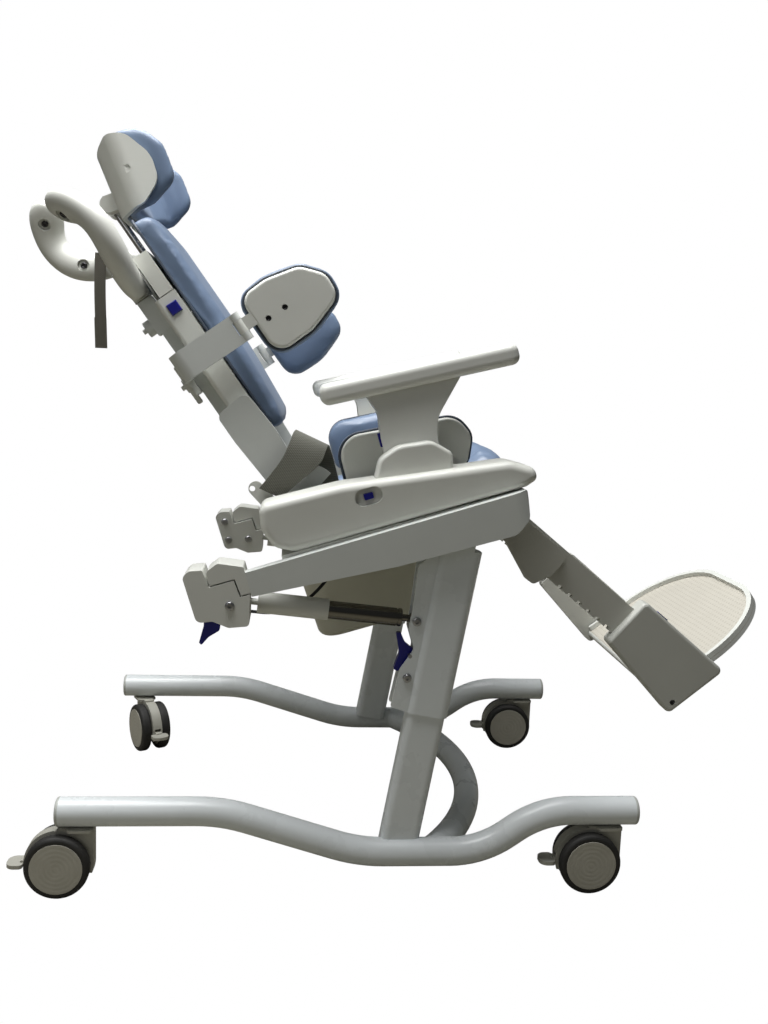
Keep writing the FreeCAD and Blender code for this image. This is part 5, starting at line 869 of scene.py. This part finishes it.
HANDLE_SCREWS = [((80.0, 7.0, 52.0), (45.0, 2.0, 31.0), (104.0, 13.0, 82.0)),
                 ((90.0, -5.0, 158.0), (102.0, 8.0, 140.0), (78.0, -20.0, 171.0))]
RECESS_FLOOR = 14.0
SOCKET_REAR, SOCKET_Y, SOCKET_TOP = -27.0, 163.0, 402.3


def handle_screws(sign, drawn, degrees):
    """Recess floors of one push handle, from its stations: set back, aside and up from the socket."""
    turn = math.radians(sign * degrees)

    def turned(x, y, z):
        y *= sign
        return Vector((x * math.cos(turn) - y * math.sin(turn), x * math.sin(turn) + y * math.cos(turn), z))

    def placed(v):
        return back(SOCKET_REAR + v.x, sign * SOCKET_Y + v.y, SOCKET_TOP + v.z)

    spots = []
    for here, before, after in HANDLE_SCREWS:
        centre, one, two = (Vector((-b, a, drawn + u)) for b, a, u in (here, before, after))
        ahead = (two - one).normalized()
        thin = (ACROSS - ahead * ahead.y).normalized()
        deep = centre - thin * RECESS_FLOOR
        spot, tip = placed(turned(*deep)), placed(turned(*(deep - thin)))
        out = (tip - spot).normalized()
        spots.append((spot + out * 0.0002, out))
    return spots


HANDLE_SET = {"right": (0.0, -90.0), "left": (103.0, 0.0)}
for side, sign in SIDES:
    spots = handle_screws(sign, *HANDLE_SET[side])
    screws("handle_screws_" + side, spots, 0.0062, 0.0045, "push_handle_" + side)
for side, sign in SIDES:
    spots = [(back(f, sign * 244.2, 267 - SUPPORT_DROP[side]), ACROSS * sign) for f in (118, 148)]
    screws("support_screws_" + side, spots, 0.0041, 0.0044, "lateral_support_" + side)
spots = [(leg(-49, sign * 238.2, -427), ACROSS * sign) for side, sign in SIDES]
screws("foot_screws", spots, 0.0041, 0.0032, "foot_brackets")

# %% [markdown]
# ## Webbing
# The belt and the strap are flat woven tape. A band is skinned along a line of places, each with the
# direction its width lies in, and carries its own map in metres: across in u and along in v. The weave is two
# sine waves on that map, ribs along the tape and picks across it.

# %% Webbing
def woven(name, colour, rib, pick):
    """Olive tape; rib and pick are the spacings of the threads in metres."""
    material, tree, shader, where = start_material(name, 0.85, Sheen_Weight=0.2)
    place = add(tree, "ShaderNodeUVMap", {"uv_map": "tape"}).outputs[0]
    parts = add(tree, "ShaderNodeSeparateXYZ", None, in0=place)

    def wave(value, spacing):
        return maths(tree, "SINE", maths(tree, "MULTIPLY", value, 2 * math.pi / spacing))

    both = maths(tree, "MULTIPLY", wave(parts.outputs[0], rib), wave(parts.outputs[1], pick))
    thread = rescaled(tree, both, From_Min=-1.0, From_Max=1.0)
    fuzz = maths(tree, "MULTIPLY", noise(tree, where, 60.0, 5.0), 0.5)
    tint = mixed(tree, thread, shade(colour, 0.45), shade(colour, 1.35))
    tree.links.new(mixed(tree, fuzz, tint, colour), shader.inputs["Base Color"])
    roughen(tree, shader, 0.7, 0.0005, thread)
    return material


belt_weave = woven("belt_weave", srgb(102, 102, 92), 0.0056, 0.0030)
strap_weave = woven("strap_weave", srgb(78, 75, 65), 0.0042, 0.0036)


EDGE_ROUND = 0.35


def band(name, line, widths, thick, material):
    """A flat tape along points, whose widths are vectors across it in metres, with tapered edges."""
    bm = bmesh.new()
    tape = bm.loops.layers.uv.new("tape")
    lap = [0.0]
    for one, two in zip(line, line[1:]):
        lap.append(lap[-1] + (two - one).length)
    rows = []
    for k, (spot, wide) in enumerate(zip(line, widths)):
        ahead = line[min(k + 1, len(line) - 1)] - line[max(k - 1, 0)]
        normal = ahead.cross(wide).normalized() * thick / 2
        half = wide / 2
        rim = half * (1 - EDGE_ROUND * thick / wide.length)
        ring = [spot - half, spot - rim + normal, spot + rim + normal, spot + half, spot + rim - normal,
                spot - rim - normal]
        rows.append([bm.verts.new(p) for p in ring])
    across = [-0.5, -0.48, 0.48, 0.5, 0.48, -0.48]
    for k, (one, two) in enumerate(zip(rows, rows[1:])):
        for i in range(6):
            j = (i + 1) % 6
            face = bm.faces.new((one[i], one[j], two[j], two[i]))
            for corner, (row, col) in zip(face.loops, ((k, i), (k, j), (k + 1, j), (k + 1, i))):
                corner[tape].uv = (across[col] * widths[row].length, lap[row])
    for end, row in ((0, rows[0]), (-1, rows[-1])):
        face = bm.faces.new(row)
        for corner in face.loops:
            corner[tape].uv = (0.0, lap[end])
    piece = finished_piece(name, bm, material)
    piece.data.polygons.foreach_set("use_smooth", [False] * len(piece.data.polygons))
    return piece


# %% [markdown]
# ## Hip belt
# The belt comes from its tab behind the right side shell, runs up over the edge of the seat, turns inward in
# a loose loop and goes down again behind itself. Its width and slant show in the photograph, and the part
# behind itself is guessed.

# %% Hip belt
def spline_points(name, route):
    """Points along a NURBS line that has the route as its control points."""
    curve = bpy.data.curves.new(name, "CURVE")
    curve.dimensions = "3D"
    run = curve.splines.new("NURBS")
    run.points.add(len(route) - 1)
    for point, spot in zip(run.points, route):
        point.co = (*spot, 1.0)
    run.order_u = 3
    run.use_endpoint_u = True
    run.resolution_u = 12
    holder = bpy.data.objects.new(name, curve)
    bpy.context.scene.collection.objects.link(holder)
    bpy.context.view_layer.update()
    mesh = bpy.data.meshes.new_from_object(holder.evaluated_get(bpy.context.evaluated_depsgraph_get()))
    spots = [v.co.copy() for v in mesh.vertices]
    bpy.data.objects.remove(holder)
    return spots


BELT_ROUTE = [(-267, -243.4, 126), (-241, -244.2, 142), (-214, -244.0, 158), (-197, -240.5, 172),
              (-186, -228.0, 188), (-180, -211.0, 192), (-178, -200.0, 177), (-178, -198.0, 150),
              (-178, -201.0, 122), (-178, -207.0, 96)]
BELT_SLANT = Vector((0.76, 0.0, -0.65)).normalized()


def hip_belt():
    line = spline_points("belt_route", [seat(s, y, n) for s, y, n in BELT_ROUTE])
    widths = []
    for k in range(len(line)):
        t = k / (len(line) - 1)
        wide = 38.0 + 20.0 * min(1.0, t / 0.3) - 10.0 * max(0.0, t - 0.45)
        slant = BELT_SLANT * wide
        widths.append(seat(slant.x, 0, slant.z) - seat(0, 0, 0))
    belt = band("hip_belt", line, widths, 0.0024, belt_weave)
    length = sum((b - a).length for a, b in zip(line, line[1:]))
    print("hip belt", round(length, 3), "m along")
    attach(belt, "seat")
    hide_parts("hip_strap")
    return belt


hip_belt()

# %% [markdown]
# ## Hanging strap
# A narrow strap hangs from the left push handle, 175 mm long as far as the photograph shows it from end to
# end. Its route is the one in the CAD source, and a smooth spline through it gives the line that the tape
# follows. Its end is folded back and sewn, which makes the last third thicker.

# %% Hanging strap
STRAP_Y = 144.35
STRAP_ROUTE = [(-474.0, 1012.0), (-475.0, 985.0), (-475.5, 940.0), (-474.0, 890.0), (-472.5, 837.0)]
SEWN_END = 0.058
strap_line = spline_points("strap_route", [level(x, STRAP_Y, z) for x, z in STRAP_ROUTE])
strap = band("hanging_tape", strap_line, [Vector((0.021, 0, 0))] * len(strap_line), 0.0022, strap_weave)
strap_length = sum((b - a).length for a, b in zip(strap_line, strap_line[1:]))
doubled = [p + Vector((0, -0.0024, 0)) for p in strap_line if p.z < strap_line[-1].z + SEWN_END]
strap_end = band("hanging_tape_end", doubled, [Vector((0.0225, 0, 0))] * len(doubled), 0.0024, strap_weave)
for piece in (strap, strap_end):
    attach(piece, "push_handle_left")
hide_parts("hanging_strap")
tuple(strap_line[0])
print("strap", round(strap_length, 4), "m")

low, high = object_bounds()
print("visual box", [round(v, 4) for v in high - low])
